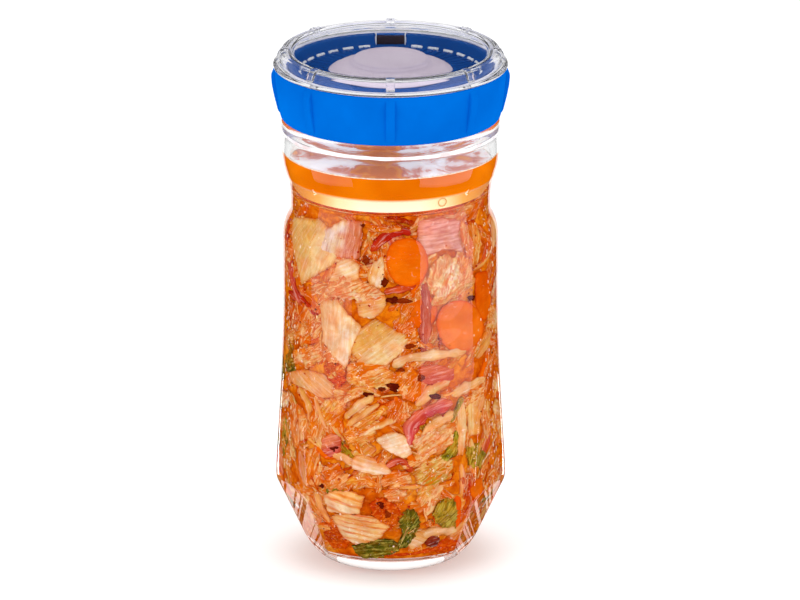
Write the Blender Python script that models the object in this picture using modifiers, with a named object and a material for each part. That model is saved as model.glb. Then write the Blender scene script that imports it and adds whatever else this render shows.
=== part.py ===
"""Glass fermentation jar filled with kimchi in brine, with a screw collar, an airlock valve and a clear cap.

Metres, +Z up. The origin is the centre of the jar's base, on the surface that it stands on. The front is -Y.
"""
import math

import bmesh
import bpy
from mathutils import Matrix, Vector

MM = 0.001
SEGMENTS = 32                 # facets round each turned piece
GAP = 0.3 * MM                # clearance between pieces that touch

# jar, outside
FOOT_R = 27.5 * MM            # flat ring that it stands on
PUNT_R = 20.0 * MM            # hollow under the base
PUNT_Z = 1.5 * MM
CORNER_Z = 36.0 * MM          # where the body turns into the sloping base
CORNER_R = 53.6 * MM
CHAMFER_SLOPE = 0.472         # radius lost for each unit of height below the corner
HEEL_Z = 9.5 * MM             # where the slope turns into the rounded heel
BODY_LOW_R = 54.5 * MM        # widest, just above the corner
BODY_R = 51.0 * MM            # straight upper body
WAIST_R = 47.2 * MM
NECK_R = 51.3 * MM
BEAD_R = 51.9 * MM            # ring of glass under the collar
FINISH_R = 48.3 * MM          # glass inside the collar
FINISH_TOP = 236.8 * MM
MOUTH_R = 44.6 * MM
FLOOR_Z = 8.6 * MM

# flat side panels and sloping base facets, pressed into the turned body
FACET_AZIMUTHS = (67.5, 112.5, 247.5, 292.5)   # degrees from the front
PANEL_TOP_D, PANEL_TOP_Z = 50.9 * MM, 128.0 * MM
PANEL_LOW_D, PANEL_LOW_Z = 51.7 * MM, 41.0 * MM
FACET_D = 49.9 * MM           # facet's distance from the axis at the corner height
FACET_SLOPE = 0.44

# contents
KIMCHI_TOP = 182.6 * MM
LIQUID_TOP = 200.5 * MM
WEIGHT_R, WEIGHT_BOTTOM, WEIGHT_TOP = 42.9 * MM, 183.0 * MM, 189.5 * MM

# collar
COLLAR_TOP, COLLAR_BOTTOM = 242.2 * MM, 217.7 * MM
COLLAR_TOP_R, COLLAR_LOW_R = 54.8 * MM, 52.2 * MM
COLLAR_IN_R = 49.2 * MM
RIBS = 8
RIB_WIDTH = 4.0 * MM
RIB_OUT_R = 56.5 * MM

# plate inside the collar
PLATE_UNDER, PLATE_RIM_UNDER, PLATE_FLOOR = 235.4 * MM, 237.1 * MM, 237.6 * MM
PLATE_PLUG_R = 44.0 * MM      # the plate's floor hangs a little way into the mouth
PLATE_WALL_TOP = 242.9 * MM
PLATE_OUT_R, PLATE_WALL_IN_R, PLATE_FLOOR_R = 48.9 * MM, 45.4 * MM, 43.2 * MM
NOTCH_HALF = 7.2 * MM         # dark tab that fills a gap at the back of the plate's wall

# valve
VALVE_TOP, VALVE_TOP_R = 245.0 * MM, 17.9 * MM
VALVE_FLANGE_R = 29.5 * MM

# clear cap
CAP_TOP = 250.2 * MM
CAP_LIP_R, CAP_WINDOW_R = 51.8 * MM, 46.2 * MM
CAP_WINDOW_TOP, CAP_WINDOW_UNDER = 248.7 * MM, 246.9 * MM
CAP_FOOT_R, CAP_FOOT_Z = 55.5 * MM, 242.6 * MM
GRIP_WIDTH = 4.2 * MM


def clear_scene():
    for ob in list(bpy.data.objects):
        bpy.data.objects.remove(ob, do_unlink=True)


def collection(name):
    found = bpy.data.collections.get(name) or bpy.data.collections.new(name)
    if name not in bpy.context.scene.collection.children:
        bpy.context.scene.collection.children.link(found)
    return found


def material(name, color, roughness, metallic=0.0, transmission=0.0):
    mat = bpy.data.materials.new(name)
    mat.use_nodes = True
    shader = mat.node_tree.nodes["Principled BSDF"]
    shader.inputs["Base Color"].default_value = (*color, 1.0)
    shader.inputs["Roughness"].default_value = roughness
    shader.inputs["Metallic"].default_value = metallic
    shader.inputs["Transmission Weight"].default_value = transmission
    mat.diffuse_color = (*color, 1.0)
    return mat


def arc(cx, cz, rx, rz, start, end, steps):
    """Points of an elliptical arc in the profile plane, angles in degrees from +X."""
    out = []
    for i in range(steps + 1):
        a = math.radians(start + (end - start) * i / steps)
        out.append((cx + rx * math.cos(a), cz + rz * math.sin(a)))
    return out


def turned(name, profile, mat, into, closed=False):
    """A profile of (radius, height) points turned about the Z axis with a Screw modifier."""
    mesh = bpy.data.meshes.new(name)
    verts = [(r, 0.0, z) for r, z in profile]
    edges = [(i, i + 1) for i in range(len(verts) - 1)]
    if closed:
        edges.append((len(verts) - 1, 0))
    mesh.from_pydata(verts, edges, [])
    ob = bpy.data.objects.new(name, mesh)
    into.objects.link(ob)
    ob.data.materials.append(mat)
    mod = ob.modifiers.new("turn", "SCREW")
    mod.axis = "Z"
    mod.angle = math.tau
    mod.steps = SEGMENTS
    mod.render_steps = SEGMENTS
    mod.use_merge_vertices = True
    mod.merge_threshold = 0.00001
    mod.use_smooth_shade = True
    return ob


def box_cutter(name, size, matrix, into):
    mesh = bpy.data.meshes.new(name)
    bm = bmesh.new()
    bmesh.ops.create_cube(bm, size=1.0)
    bmesh.ops.scale(bm, vec=Vector(size), verts=bm.verts)
    bm.to_mesh(mesh)
    bm.free()
    ob = bpy.data.objects.new(name, mesh)
    ob.matrix_world = matrix
    ob.hide_render = True
    ob.display_type = "WIRE"
    into.objects.link(ob)
    return ob


def outline_mesh(name, points, thickness):
    """A flat outline in the XY plane, extruded by half the thickness each way, as a closed mesh."""
    curve = bpy.data.curves.new(name, "CURVE")
    curve.dimensions = "2D"
    curve.fill_mode = "BOTH"
    curve.extrude = thickness / 2
    spline = curve.splines.new("POLY")
    spline.points.add(len(points) - 1)
    for p, (x, y) in zip(spline.points, points):
        p.co = (x, y, 0.0, 1.0)
    spline.use_cyclic_u = True
    ob = bpy.data.objects.new(name, curve)
    bpy.context.scene.collection.objects.link(ob)
    bpy.context.view_layer.update()
    made = bpy.data.meshes.new_from_object(ob.evaluated_get(bpy.context.evaluated_depsgraph_get()))
    bm = bmesh.new()
    bm.from_mesh(made)
    bmesh.ops.remove_doubles(bm, verts=bm.verts, dist=0.000001)
    bmesh.ops.recalc_face_normals(bm, faces=bm.faces)
    bm.to_mesh(made)
    bm.free()
    bpy.data.objects.remove(ob, do_unlink=True)
    return made


def ring_of(name, mesh, count, first, into):
    """Copies of a mesh turned about Z at equal steps, in one object."""
    bm = bmesh.new()
    for i in range(count):
        piece = bmesh.new()
        piece.from_mesh(mesh)
        bmesh.ops.transform(piece, matrix=Matrix.Rotation(first + math.tau * i / count, 4, "Z"), verts=piece.verts)
        copy = bpy.data.meshes.new(name + "_copy")
        piece.to_mesh(copy)
        piece.free()
        bm.from_mesh(copy)
        bpy.data.meshes.remove(copy)
    made = bpy.data.meshes.new(name)
    bm.to_mesh(made)
    bm.free()
    ob = bpy.data.objects.new(name, made)
    ob.hide_render = True
    ob.display_type = "WIRE"
    into.objects.link(ob)
    return ob


def boolean(ob, other, operation):
    mod = ob.modifiers.new(operation.lower() + "_" + other.name, "BOOLEAN")
    mod.operation = operation
    mod.solver = "EXACT"
    mod.object = other
    return mod


def facet_cutter(name, azimuth, d, z, slope, into):
    """A block whose inner face is a plane at distance d from the axis at height z; the plane leans out by slope as it rises."""
    lean = math.atan(slope)
    size = 0.12
    turn = Matrix.Rotation(math.radians(azimuth - 90.0), 4, "Z")
    place = Matrix.Translation(Vector((d, 0.0, z)))
    tilt = Matrix.Rotation(lean, 4, "Y")
    inner = Matrix.Translation(Vector((size / 2, 0.0, 0.0)))
    return box_cutter(name, (size, size, size), turn @ place @ tilt @ inner, into)


def outer_profile():
    """The outside of the jar from the lip of its mouth down to the centre of the base."""
    pts = [
        (MOUTH_R + 0.9 * MM, FINISH_TOP), (FINISH_R - 0.7 * MM, FINISH_TOP), (FINISH_R, FINISH_TOP - 0.8 * MM),
        (FINISH_R, 217.3 * MM), (NECK_R - 0.5 * MM, 216.7 * MM), (BEAD_R, 215.2 * MM), (BEAD_R, 212.6 * MM),
        (NECK_R - 0.2 * MM, 210.6 * MM), (NECK_R, 200.0 * MM), (NECK_R - 0.4 * MM, 196.0 * MM),
        (49.6 * MM, 190.8 * MM),
        (48.4 * MM, 187.6 * MM), (47.7 * MM, 183.6 * MM), (WAIST_R, 179.0 * MM), (WAIST_R, 173.0 * MM),
        (47.6 * MM, 171.0 * MM), (48.9 * MM, 168.6 * MM), (50.0 * MM, 166.0 * MM), (50.7 * MM, 163.4 * MM),
        (BODY_R, 160.0 * MM), (BODY_R, 125.0 * MM),
    ]
    flare = (125.0 * MM, 45.0 * MM)
    for i in range(1, 6):
        t = i / 5
        pts.append((BODY_R + (BODY_LOW_R - BODY_R) * (t ** 1.25), flare[0] + (flare[1] - flare[0]) * t))
    pts += [(BODY_LOW_R, 39.5 * MM), (BODY_LOW_R - 0.25 * MM, 37.6 * MM), (CORNER_R, CORNER_Z),
            (CORNER_R - CHAMFER_SLOPE * (CORNER_Z - 33.5 * MM) - 0.1 * MM, 33.5 * MM)]
    heel_r = CORNER_R - CHAMFER_SLOPE * (CORNER_Z - HEEL_Z) - 0.1 * MM
    pts.append((heel_r, HEEL_Z))
    pts += [(38.9 * MM, 6.4 * MM), (35.9 * MM, 3.6 * MM), (32.2 * MM, 1.3 * MM), (FOOT_R, 0.0)]
    pts += [(PUNT_R + 1.2 * MM, 0.0), (PUNT_R - 2.0 * MM, PUNT_Z * 0.8), (PUNT_R - 6.0 * MM, PUNT_Z), (0.0, PUNT_Z)]
    return pts


def inner_profile():
    """The cavity of the jar from the centre of its floor up to the lip."""
    return [
        (0.0, FLOOR_Z + 0.6 * MM), (24.0 * MM, FLOOR_Z), (31.0 * MM, FLOOR_Z + 0.4 * MM), (35.0 * MM, 10.6 * MM), (37.6 * MM, 13.2 * MM),
        (47.9 * MM, 35.0 * MM), (49.5 * MM, 42.0 * MM), (49.1 * MM, 62.0 * MM),
        (48.3 * MM, 85.0 * MM), (47.4 * MM, 120.0 * MM), (47.4 * MM, 157.0 * MM), (46.3 * MM, 163.0 * MM),
        (43.9 * MM, 172.0 * MM), (43.8 * MM, 178.0 * MM), (44.3 * MM, 184.0 * MM),
        (46.4 * MM, 193.0 * MM), (46.7 * MM, 199.0 * MM), (45.4 * MM, 211.0 * MM),
        (MOUTH_R, 218.0 * MM), (MOUTH_R, FINISH_TOP - 0.7 * MM),
    ]


def inner_radius(z):
    pts = inner_profile()[3:]
    if z <= pts[0][1]:
        return pts[0][0]
    for (r0, z0), (r1, z1) in zip(pts, pts[1:]):
        if z0 <= z <= z1:
            return r0 + (r1 - r0) * (z - z0) / (z1 - z0)
    return pts[-1][0]


def make_jar(parts, cutters, mat):
    jar = turned("glass_jar", inner_profile() + outer_profile(), mat, parts)
    for i, azimuth in enumerate(FACET_AZIMUTHS):
        panel_slope = (PANEL_TOP_D - PANEL_LOW_D) / (PANEL_TOP_Z - PANEL_LOW_Z)
        middle_z = (PANEL_TOP_Z + PANEL_LOW_Z) / 2
        panel = facet_cutter("cut_panel_%d" % i, azimuth, (PANEL_TOP_D + PANEL_LOW_D) / 2, middle_z, panel_slope, cutters)
        facet = facet_cutter("cut_facet_%d" % i, azimuth, FACET_D, CORNER_Z, FACET_SLOPE, cutters)
        boolean(jar, panel, "DIFFERENCE")
        boolean(jar, facet, "DIFFERENCE")
    return jar


def make_contents(parts, kimchi_mat, brine_mat, weight_mat):
    # pressed vegetables: out to the wall, with an uneven top under the weight
    side = [(r, z) for r, z in inner_profile() if 0.0 < z < KIMCHI_TOP - 3.0 * MM]
    wall = [(max(r - GAP, 0.0), z + (GAP if z < 12.0 * MM else 0.0)) for r, z in side]
    top_r = inner_radius(KIMCHI_TOP - 1.0 * MM) - GAP
    top = [(top_r, KIMCHI_TOP - 1.0 * MM), (top_r - 1.2 * MM, KIMCHI_TOP)]
    steps = 5
    for i in range(1, steps):
        r = (top_r - 1.2 * MM) * (1 - i / steps)
        top.append((r, KIMCHI_TOP - 1.4 * MM - 1.2 * MM * math.sin(i * 2.3) ** 2))
    top.append((0.0, KIMCHI_TOP - 1.8 * MM))
    profile = list(reversed(top)) + list(reversed(wall))
    heap = turned("kimchi", profile, kimchi_mat, parts)
    bpy.context.view_layer.update()
    mesh = bpy.data.meshes.new_from_object(heap.evaluated_get(bpy.context.evaluated_depsgraph_get()))
    heap.modifiers.clear()
    heap.data = mesh
    for v in mesh.vertices:
        r = math.hypot(v.co.x, v.co.y)
        if v.co.z > KIMCHI_TOP - 3.0 * MM and r < top_r - 2.0 * MM:
            a = math.atan2(v.co.y, v.co.x)
            v.co.z -= (0.8 + 0.5 * math.sin(3 * a + r / MM * 0.4) + 0.3 * math.sin(7 * a + 1.3)) * MM * min(1.0, r / (6.0 * MM))
    # brine above them, cut out underneath for the weight
    low = KIMCHI_TOP + GAP
    pocket_r = WEIGHT_R + GAP
    zs = [LIQUID_TOP, 198.0 * MM, 193.0 * MM, 189.0 * MM, low]
    outside = [(inner_radius(z) - GAP, z) for z in zs]
    outside[0] = (outside[0][0], LIQUID_TOP)
    profile = [(0.0, LIQUID_TOP - 0.3 * MM), (outside[0][0] - 2.2 * MM, LIQUID_TOP - 0.3 * MM)] + outside
    profile += [(pocket_r, low), (pocket_r, WEIGHT_TOP - 1.1 * MM), (pocket_r - 1.4 * MM, WEIGHT_TOP + GAP), (0.0, WEIGHT_TOP + GAP)]
    turned("brine", profile, brine_mat, parts)
    # thick glass disc that holds the vegetables down
    edge = 1.9 * MM
    profile = [(0.0, WEIGHT_TOP)]
    profile += arc(WEIGHT_R - edge, WEIGHT_TOP - edge, edge, edge, 90, 0, 2)
    profile += arc(WEIGHT_R - edge, WEIGHT_BOTTOM + edge, edge, edge, 0, -90, 2)
    profile.append((0.0, WEIGHT_BOTTOM))
    turned("glass_weight", profile, weight_mat, parts)


def make_collar(parts, cutters, mat):
    profile = [
        (COLLAR_IN_R, COLLAR_TOP - 0.2 * MM), (COLLAR_IN_R + 0.3 * MM, COLLAR_TOP), (COLLAR_TOP_R - 0.8 * MM, COLLAR_TOP),
        (COLLAR_TOP_R, COLLAR_TOP - 0.9 * MM), (COLLAR_TOP_R - 0.2 * MM, 238.0 * MM),
        (COLLAR_LOW_R + 0.1 * MM, 219.4 * MM), (COLLAR_LOW_R - 0.4 * MM, 218.2 * MM), (COLLAR_LOW_R - 1.1 * MM, COLLAR_BOTTOM),
        (COLLAR_IN_R + 0.3 * MM, COLLAR_BOTTOM), (COLLAR_IN_R, COLLAR_BOTTOM + 0.4 * MM),
    ]
    collar = turned("lid_collar", profile, mat, parts, closed=True)
    rib = outline_mesh("rib", [
        (51.6 * MM, 241.2 * MM), (54.9 * MM, 241.2 * MM), (RIB_OUT_R, 236.8 * MM), (55.7 * MM, 229.0 * MM),
        (53.6 * MM, 220.0 * MM), (52.6 * MM, 218.9 * MM), (51.2 * MM, 218.9 * MM),
    ], RIB_WIDTH)
    # the outline's X is the radius and its Y the height
    stand = Matrix(((1, 0, 0, 0), (0, 0, -1, 0), (0, 1, 0, 0), (0, 0, 0, 1)))
    rib.transform(stand)
    boolean(collar, ring_of("add_ribs", rib, RIBS, 0.0, cutters), "UNION")
    return collar


def make_plate(parts, cutters, mat, tab_mat):
    hole_r = 9.0 * MM
    profile = [
        (hole_r, PLATE_FLOOR), (PLATE_FLOOR_R, PLATE_FLOOR), (PLATE_WALL_IN_R, PLATE_WALL_TOP - 0.6 * MM),
        (PLATE_WALL_IN_R + 0.6 * MM, PLATE_WALL_TOP), (PLATE_OUT_R - 0.6 * MM, PLATE_WALL_TOP), (PLATE_OUT_R, PLATE_WALL_TOP - 0.6 * MM),
        (PLATE_OUT_R, PLATE_RIM_UNDER), (PLATE_PLUG_R, PLATE_RIM_UNDER), (PLATE_PLUG_R, PLATE_UNDER), (hole_r, PLATE_UNDER),
    ]
    plate = turned("lid_plate", profile, mat, parts, closed=True)
    # gap in the back of the wall
    place = Matrix.Translation(Vector((0.0, 46.0 * MM, (PLATE_FLOOR + 250.0 * MM) / 2 + 0.2 * MM)))
    notch = box_cutter("cut_notch", (2 * NOTCH_HALF, 4.6 * MM, 250.0 * MM - PLATE_FLOOR), place, cutters)
    boolean(plate, notch, "DIFFERENCE")
    mesh = bpy.data.meshes.new("back_tab")
    bm = bmesh.new()
    bmesh.ops.create_cube(bm, size=1.0)
    size = Vector((2 * NOTCH_HALF - 1.2 * MM, 2.4 * MM, 4.0 * MM))
    bmesh.ops.scale(bm, vec=size, verts=bm.verts)
    bmesh.ops.translate(bm, vec=Vector((0.0, 46.2 * MM, PLATE_FLOOR + 0.35 * MM + size.z / 2)), verts=bm.verts)
    bm.to_mesh(mesh)
    bm.free()
    tab = bpy.data.objects.new("back_tab", mesh)
    tab.data.materials.append(tab_mat)
    parts.objects.link(tab)
    bevel = tab.modifiers.new("edges", "BEVEL")
    bevel.width = 0.4 * MM
    bevel.segments = 1
    return plate


def make_valve(parts, mat):
    base = PLATE_FLOOR + GAP
    profile = [(0.0, VALVE_TOP + 0.2 * MM), (9.0 * MM, VALVE_TOP + 0.15 * MM)]
    profile += arc(VALVE_TOP_R - 1.4 * MM, VALVE_TOP - 1.4 * MM, 1.4 * MM, 1.4 * MM, 90, 10, 2)
    profile += arc(VALVE_TOP_R + 4.6 * MM, VALVE_TOP - 2.0 * MM, 3.6 * MM, 1.9 * MM, 180, 260, 2)
    profile += [(VALVE_FLANGE_R - 3.6 * MM, base + 2.5 * MM), (VALVE_FLANGE_R - 0.5 * MM, base + 0.9 * MM), (VALVE_FLANGE_R, base + 0.4 * MM),
                (VALVE_FLANGE_R - 0.3 * MM, base), (0.0, base)]
    turned("valve", profile, mat, parts)


def make_cap(parts, cutters, mat):
    outside = [
        (0.0, CAP_WINDOW_TOP), (CAP_WINDOW_R - 0.5 * MM, CAP_WINDOW_TOP), (CAP_WINDOW_R + 0.1 * MM, CAP_WINDOW_TOP + 0.4 * MM),
        (CAP_WINDOW_R + 0.8 * MM, CAP_TOP - 0.2 * MM), (CAP_WINDOW_R + 1.6 * MM, CAP_TOP),
        (CAP_LIP_R - 1.4 * MM, CAP_TOP - 0.1 * MM), (CAP_LIP_R - 0.2 * MM, CAP_TOP - 0.7 * MM), (CAP_LIP_R + 0.5 * MM, 248.4 * MM),
        (CAP_LIP_R + 1.4 * MM, 246.2 * MM), (CAP_LIP_R + 2.3 * MM, 244.6 * MM), (CAP_FOOT_R - 0.3 * MM, 243.7 * MM),
        (CAP_FOOT_R, 243.2 * MM), (CAP_FOOT_R - 0.1 * MM, CAP_FOOT_Z),
    ]
    inside = [
        (51.4 * MM, CAP_FOOT_Z), (51.2 * MM, 244.2 * MM), (50.4 * MM, 246.8 * MM), (49.8 * MM, 248.1 * MM), (48.6 * MM, 248.5 * MM),
        (47.6 * MM, 248.2 * MM), (46.9 * MM, 247.2 * MM), (46.3 * MM, CAP_WINDOW_UNDER), (0.0, CAP_WINDOW_UNDER),
    ]
    cap = turned("clear_cap", outside + inside, mat, parts)
    grip = outline_mesh("grip", [
        (47.6 * MM, 249.3 * MM), (51.0 * MM, 247.4 * MM), (52.4 * MM, 244.6 * MM), (54.2 * MM, 244.6 * MM), (53.3 * MM, 248.2 * MM),
        (52.2 * MM, 250.0 * MM), (50.6 * MM, 250.6 * MM), (48.2 * MM, 250.6 * MM),
    ], GRIP_WIDTH)
    stand = Matrix(((1, 0, 0, 0), (0, 0, -1, 0), (0, 1, 0, 0), (0, 0, 0, 1)))
    grip.transform(stand)
    boolean(cap, ring_of("add_grips", grip, RIBS, 0.0, cutters), "UNION")
    return cap


def main():
    clear_scene()
    parts = collection("fermentation_jar")
    cutters = collection("cutters")
    glass = material("clear_glass", (0.93, 0.95, 0.94), 0.02, transmission=1.0)
    kimchi = material("kimchi_mix", (0.75, 0.33, 0.10), 0.5)
    brine = material("orange_brine", (0.80, 0.32, 0.02), 0.1)
    weight = material("weight_glass", (0.95, 0.92, 0.80), 0.05)
    blue = material("collar_blue", (0.0, 0.13, 0.72), 0.45)
    dark_blue = material("plate_blue", (0.0, 0.05, 0.30), 0.4)
    black = material("tab_dark", (0.03, 0.025, 0.03), 0.5)
    grey = material("valve_grey", (0.42, 0.35, 0.39), 0.6)
    clear = material("cap_clear", (0.95, 0.95, 0.96), 0.05, transmission=1.0)
    make_jar(parts, cutters, glass)
    make_contents(parts, kimchi, brine, weight)
    make_collar(parts, cutters, blue)
    make_plate(parts, cutters, dark_blue, black)
    make_valve(parts, grey)
    make_cap(parts, cutters, clear)
    for ob in parts.objects:
        if ob.type == "MESH" and ob.name != "back_tab":
            ob.data.shade_smooth()


main()
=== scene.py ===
import math
import random

import bmesh
import bpy
from mathutils import Matrix, Vector, noise


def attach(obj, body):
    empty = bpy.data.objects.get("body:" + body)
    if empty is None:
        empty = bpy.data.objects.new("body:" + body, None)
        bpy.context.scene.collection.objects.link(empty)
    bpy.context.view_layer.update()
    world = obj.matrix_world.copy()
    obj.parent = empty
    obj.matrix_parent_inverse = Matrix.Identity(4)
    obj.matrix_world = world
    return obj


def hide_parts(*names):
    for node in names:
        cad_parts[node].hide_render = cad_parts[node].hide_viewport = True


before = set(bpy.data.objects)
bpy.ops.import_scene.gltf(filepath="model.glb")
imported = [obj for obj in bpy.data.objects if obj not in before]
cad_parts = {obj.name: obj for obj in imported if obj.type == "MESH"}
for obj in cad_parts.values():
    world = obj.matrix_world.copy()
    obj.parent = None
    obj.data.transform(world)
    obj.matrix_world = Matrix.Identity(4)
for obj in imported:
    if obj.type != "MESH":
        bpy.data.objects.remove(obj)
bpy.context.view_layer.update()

MM = 0.001
TAU = math.tau


# ---------------------------------------------------------------- helpers

def clamp(x, lo=0.0, hi=1.0):
    return lo if x < lo else hi if x > hi else x


def smooth(a, b, x):
    """0 below a, 1 above b, with a soft step between."""
    t = clamp((x - a) / (b - a))
    return t * t * (3 - 2 * t)


def lerp(a, b, t):
    return a + (b - a) * t


def rounded(points, reach, steps=4, closed=False):
    """A polyline with its corners turned into short curves that start `reach` away from each corner."""
    out = []
    n = len(points)
    for i, p in enumerate(points):
        if not closed and i in (0, n - 1):
            out.append(p)
            continue
        a, b = points[(i - 1) % n], points[(i + 1) % n]
        la, lb = math.dist(a, p), math.dist(b, p)
        ra, rb = min(reach, la * 0.48), min(reach, lb * 0.48)
        s = [lerp(p[k], a[k], ra / la) for k in range(2)]
        e = [lerp(p[k], b[k], rb / lb) for k in range(2)]
        for j in range(steps + 1):
            t = j / steps
            out.append(tuple((1 - t) ** 2 * s[k] + 2 * t * (1 - t) * p[k] + t * t * e[k] for k in range(2)))
    return out


def divided(points, longest):
    """A polyline with its long stretches cut into steps no longer than `longest`."""
    out = [points[0]]
    for p, q in zip(points, points[1:]):
        n = max(1, math.ceil(math.dist(p, q) / longest))
        for j in range(1, n + 1):
            out.append(tuple(lerp(p[k], q[k], j / n) for k in range(2)))
    return out


def arc(cx, cz, rx, rz, start, end, steps):
    return [(cx + rx * math.cos(math.radians(lerp(start, end, i / steps))),
             cz + rz * math.sin(math.radians(lerp(start, end, i / steps)))) for i in range(steps + 1)]


def around(phi, r, z):
    """A point at an azimuth from the front (-Y), turning towards +X."""
    return Vector((r * math.sin(phi), -r * math.cos(phi), z))


def new_object(name, verts, faces, mat, smooth_shade=True):
    mesh = bpy.data.meshes.new(name)
    mesh.from_pydata([tuple(v) for v in verts], [], faces)
    mesh.update()
    ob = bpy.data.objects.new(name, mesh)
    bpy.context.scene.collection.objects.link(ob)
    if mat is not None:
        mesh.materials.append(mat)
    if smooth_shade:
        mesh.polygons.foreach_set("use_smooth", [True] * len(mesh.polygons))
    return ob


def face_out(ob):
    """Turn every face of closed shells outwards."""
    bm = bmesh.new()
    bm.from_mesh(ob.data)
    bmesh.ops.recalc_face_normals(bm, faces=bm.faces)
    bm.to_mesh(ob.data)
    bm.free()
    return ob


def lathe(name, profile, mat, steps=192, closed=False, shape=None):
    """A profile of (radius, height) in metres turned about Z. shape(phi, r, z) may move each point."""
    verts, faces, rows = [], [], []
    for r, z in profile:
        if r < 1e-7 and not closed:
            rows.append([len(verts)])
            verts.append(Vector((0, 0, z)))
            continue
        row = []
        for j in range(steps):
            phi = TAU * j / steps
            rr, zz = shape(phi, r, z) if shape else (r, z)
            row.append(len(verts))
            verts.append(around(phi, rr, zz))
        rows.append(row)
    pairs = list(zip(rows, rows[1:]))
    if closed:
        pairs.append((rows[-1], rows[0]))
    for a, b in pairs:
        for j in range(steps):
            k = (j + 1) % steps
            if len(a) == 1 and len(b) == 1:
                break
            if len(a) == 1:
                faces.append((a[0], b[k], b[j]))
            elif len(b) == 1:
                faces.append((a[j], a[k], b[0]))
            else:
                faces.append((a[j], a[k], b[k], b[j]))
    return face_out(new_object(name, verts, faces, mat))


def join(name, obs):
    """One object made of several, keeping their materials."""
    bpy.ops.object.select_all(action="DESELECT")
    for o in obs:
        o.select_set(True)
    bpy.context.view_layer.objects.active = obs[0]
    bpy.ops.object.join()
    obs[0].name = name
    return obs[0]


# ---------------------------------------------------------------- materials

class Nodes:
    """Short names for building a node material."""

    def __init__(self, name):
        self.mat = bpy.data.materials.new(name)
        self.mat.use_nodes = True
        self.tree = self.mat.node_tree
        self.bsdf = self.tree.nodes["Principled BSDF"]
        self.out = self.tree.nodes["Material Output"]

    def add(self, kind, **values):
        node = self.tree.nodes.new(kind)
        for key, value in values.items():
            if hasattr(node, key):
                setattr(node, key, value)
            else:
                node.inputs[key.replace("_", " ")].default_value = value
        return node

    def link(self, a, b):
        self.tree.links.new(a, b)

    def set(self, **values):
        for key, value in values.items():
            self.bsdf.inputs[key.replace("_", " ")].default_value = value

    def coords(self, scale=(1, 1, 1)):
        co = self.add("ShaderNodeTexCoord")
        mp = self.add("ShaderNodeMapping")
        mp.inputs["Scale"].default_value = scale
        self.link(co.outputs["Object"], mp.inputs["Vector"])
        return mp.outputs["Vector"]

    def noise(self, vector, scale, detail=3.0, rough=0.5, distortion=0.0):
        n = self.add("ShaderNodeTexNoise")
        n.inputs["Scale"].default_value = scale
        n.inputs["Detail"].default_value = detail
        n.inputs["Roughness"].default_value = rough
        n.inputs["Distortion"].default_value = distortion
        if vector is not None:
            self.link(vector, n.inputs["Vector"])
        return n.outputs["Fac"]

    def ramp(self, fac, stops, interpolation="LINEAR"):
        n = self.add("ShaderNodeValToRGB")
        n.color_ramp.interpolation = interpolation
        el = n.color_ramp.elements
        while len(el) < len(stops):
            el.new(0.5)
        for e, (pos, col) in zip(el, stops):
            e.position = pos
            e.color = (*col, 1.0) if len(col) == 3 else col
        self.link(fac, n.inputs["Fac"])
        return n.outputs["Color"]

    def mix(self, fac, a, b, blend="MIX"):
        n = self.add("ShaderNodeMix", data_type="RGBA", blend_type=blend)
        for socket, value in ((n.inputs[0], fac), (n.inputs[6], a), (n.inputs[7], b)):
            if isinstance(value, (int, float)):
                socket.default_value = value
            elif isinstance(value, tuple):
                socket.default_value = (*value, 1.0)
            else:
                self.link(value, socket)
        return n.outputs[2]

    def math(self, op, a, b=0.0):
        n = self.add("ShaderNodeMath", operation=op)
        for socket, value in ((n.inputs[0], a), (n.inputs[1], b)):
            if isinstance(value, (int, float)):
                socket.default_value = value
            else:
                self.link(value, socket)
        return n.outputs[0]

    def bump(self, height, strength, distance=0.0005, normal=None):
        n = self.add("ShaderNodeBump")
        n.inputs["Strength"].default_value = strength
        n.inputs["Distance"].default_value = distance
        self.link(height, n.inputs["Height"])
        if normal is not None:
            self.link(normal, n.inputs["Normal"])
        return n.outputs["Normal"]

    def color(self, socket):
        self.link(socket, self.bsdf.inputs["Base Color"])

    def normal(self, socket):
        self.link(socket, self.bsdf.inputs["Normal"])

    def lets_light_through(self):
        """Rays from lamps and diffuse light pass the glass unbent, so that what is behind it is lit."""
        shader = self.bsdf.outputs[0]
        for ray in ("Is Shadow Ray", "Is Diffuse Ray"):
            path = self.add("ShaderNodeLightPath")
            clear = self.add("ShaderNodeBsdfTransparent")
            blend = self.add("ShaderNodeMixShader")
            self.link(path.outputs[ray], blend.inputs[0])
            self.link(shader, blend.inputs[1])
            self.link(clear.outputs[0], blend.inputs[2])
            shader = blend.outputs[0]
        self.link(shader, self.out.inputs["Surface"])


def srgb(r, g, b):
    """A colour given as 0-255 screen values, as linear numbers."""
    def lin(c):
        c /= 255.0
        return c / 12.92 if c <= 0.04045 else ((c + 0.055) / 1.055) ** 2.4
    return (lin(r), lin(g), lin(b))


def glass_material():
    m = Nodes("jar_glass")
    m.set(Base_Color=(0.985, 0.99, 0.988, 1), Roughness=0.0, IOR=1.5, Transmission_Weight=1.0)
    v = m.coords((1, 1, 0.35))
    m.normal(m.bump(m.noise(v, 55.0, 2.0), 0.06, 0.0012))
    m.lets_light_through()
    return m.mat


def cap_material():
    m = Nodes("clear_plastic")
    m.set(Base_Color=(0.97, 0.97, 0.985, 1), Roughness=0.02, IOR=1.46, Transmission_Weight=1.0)
    m.normal(m.bump(m.noise(m.coords(), 90.0, 2.0), 0.02, 0.0008))
    m.lets_light_through()
    return m.mat


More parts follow.
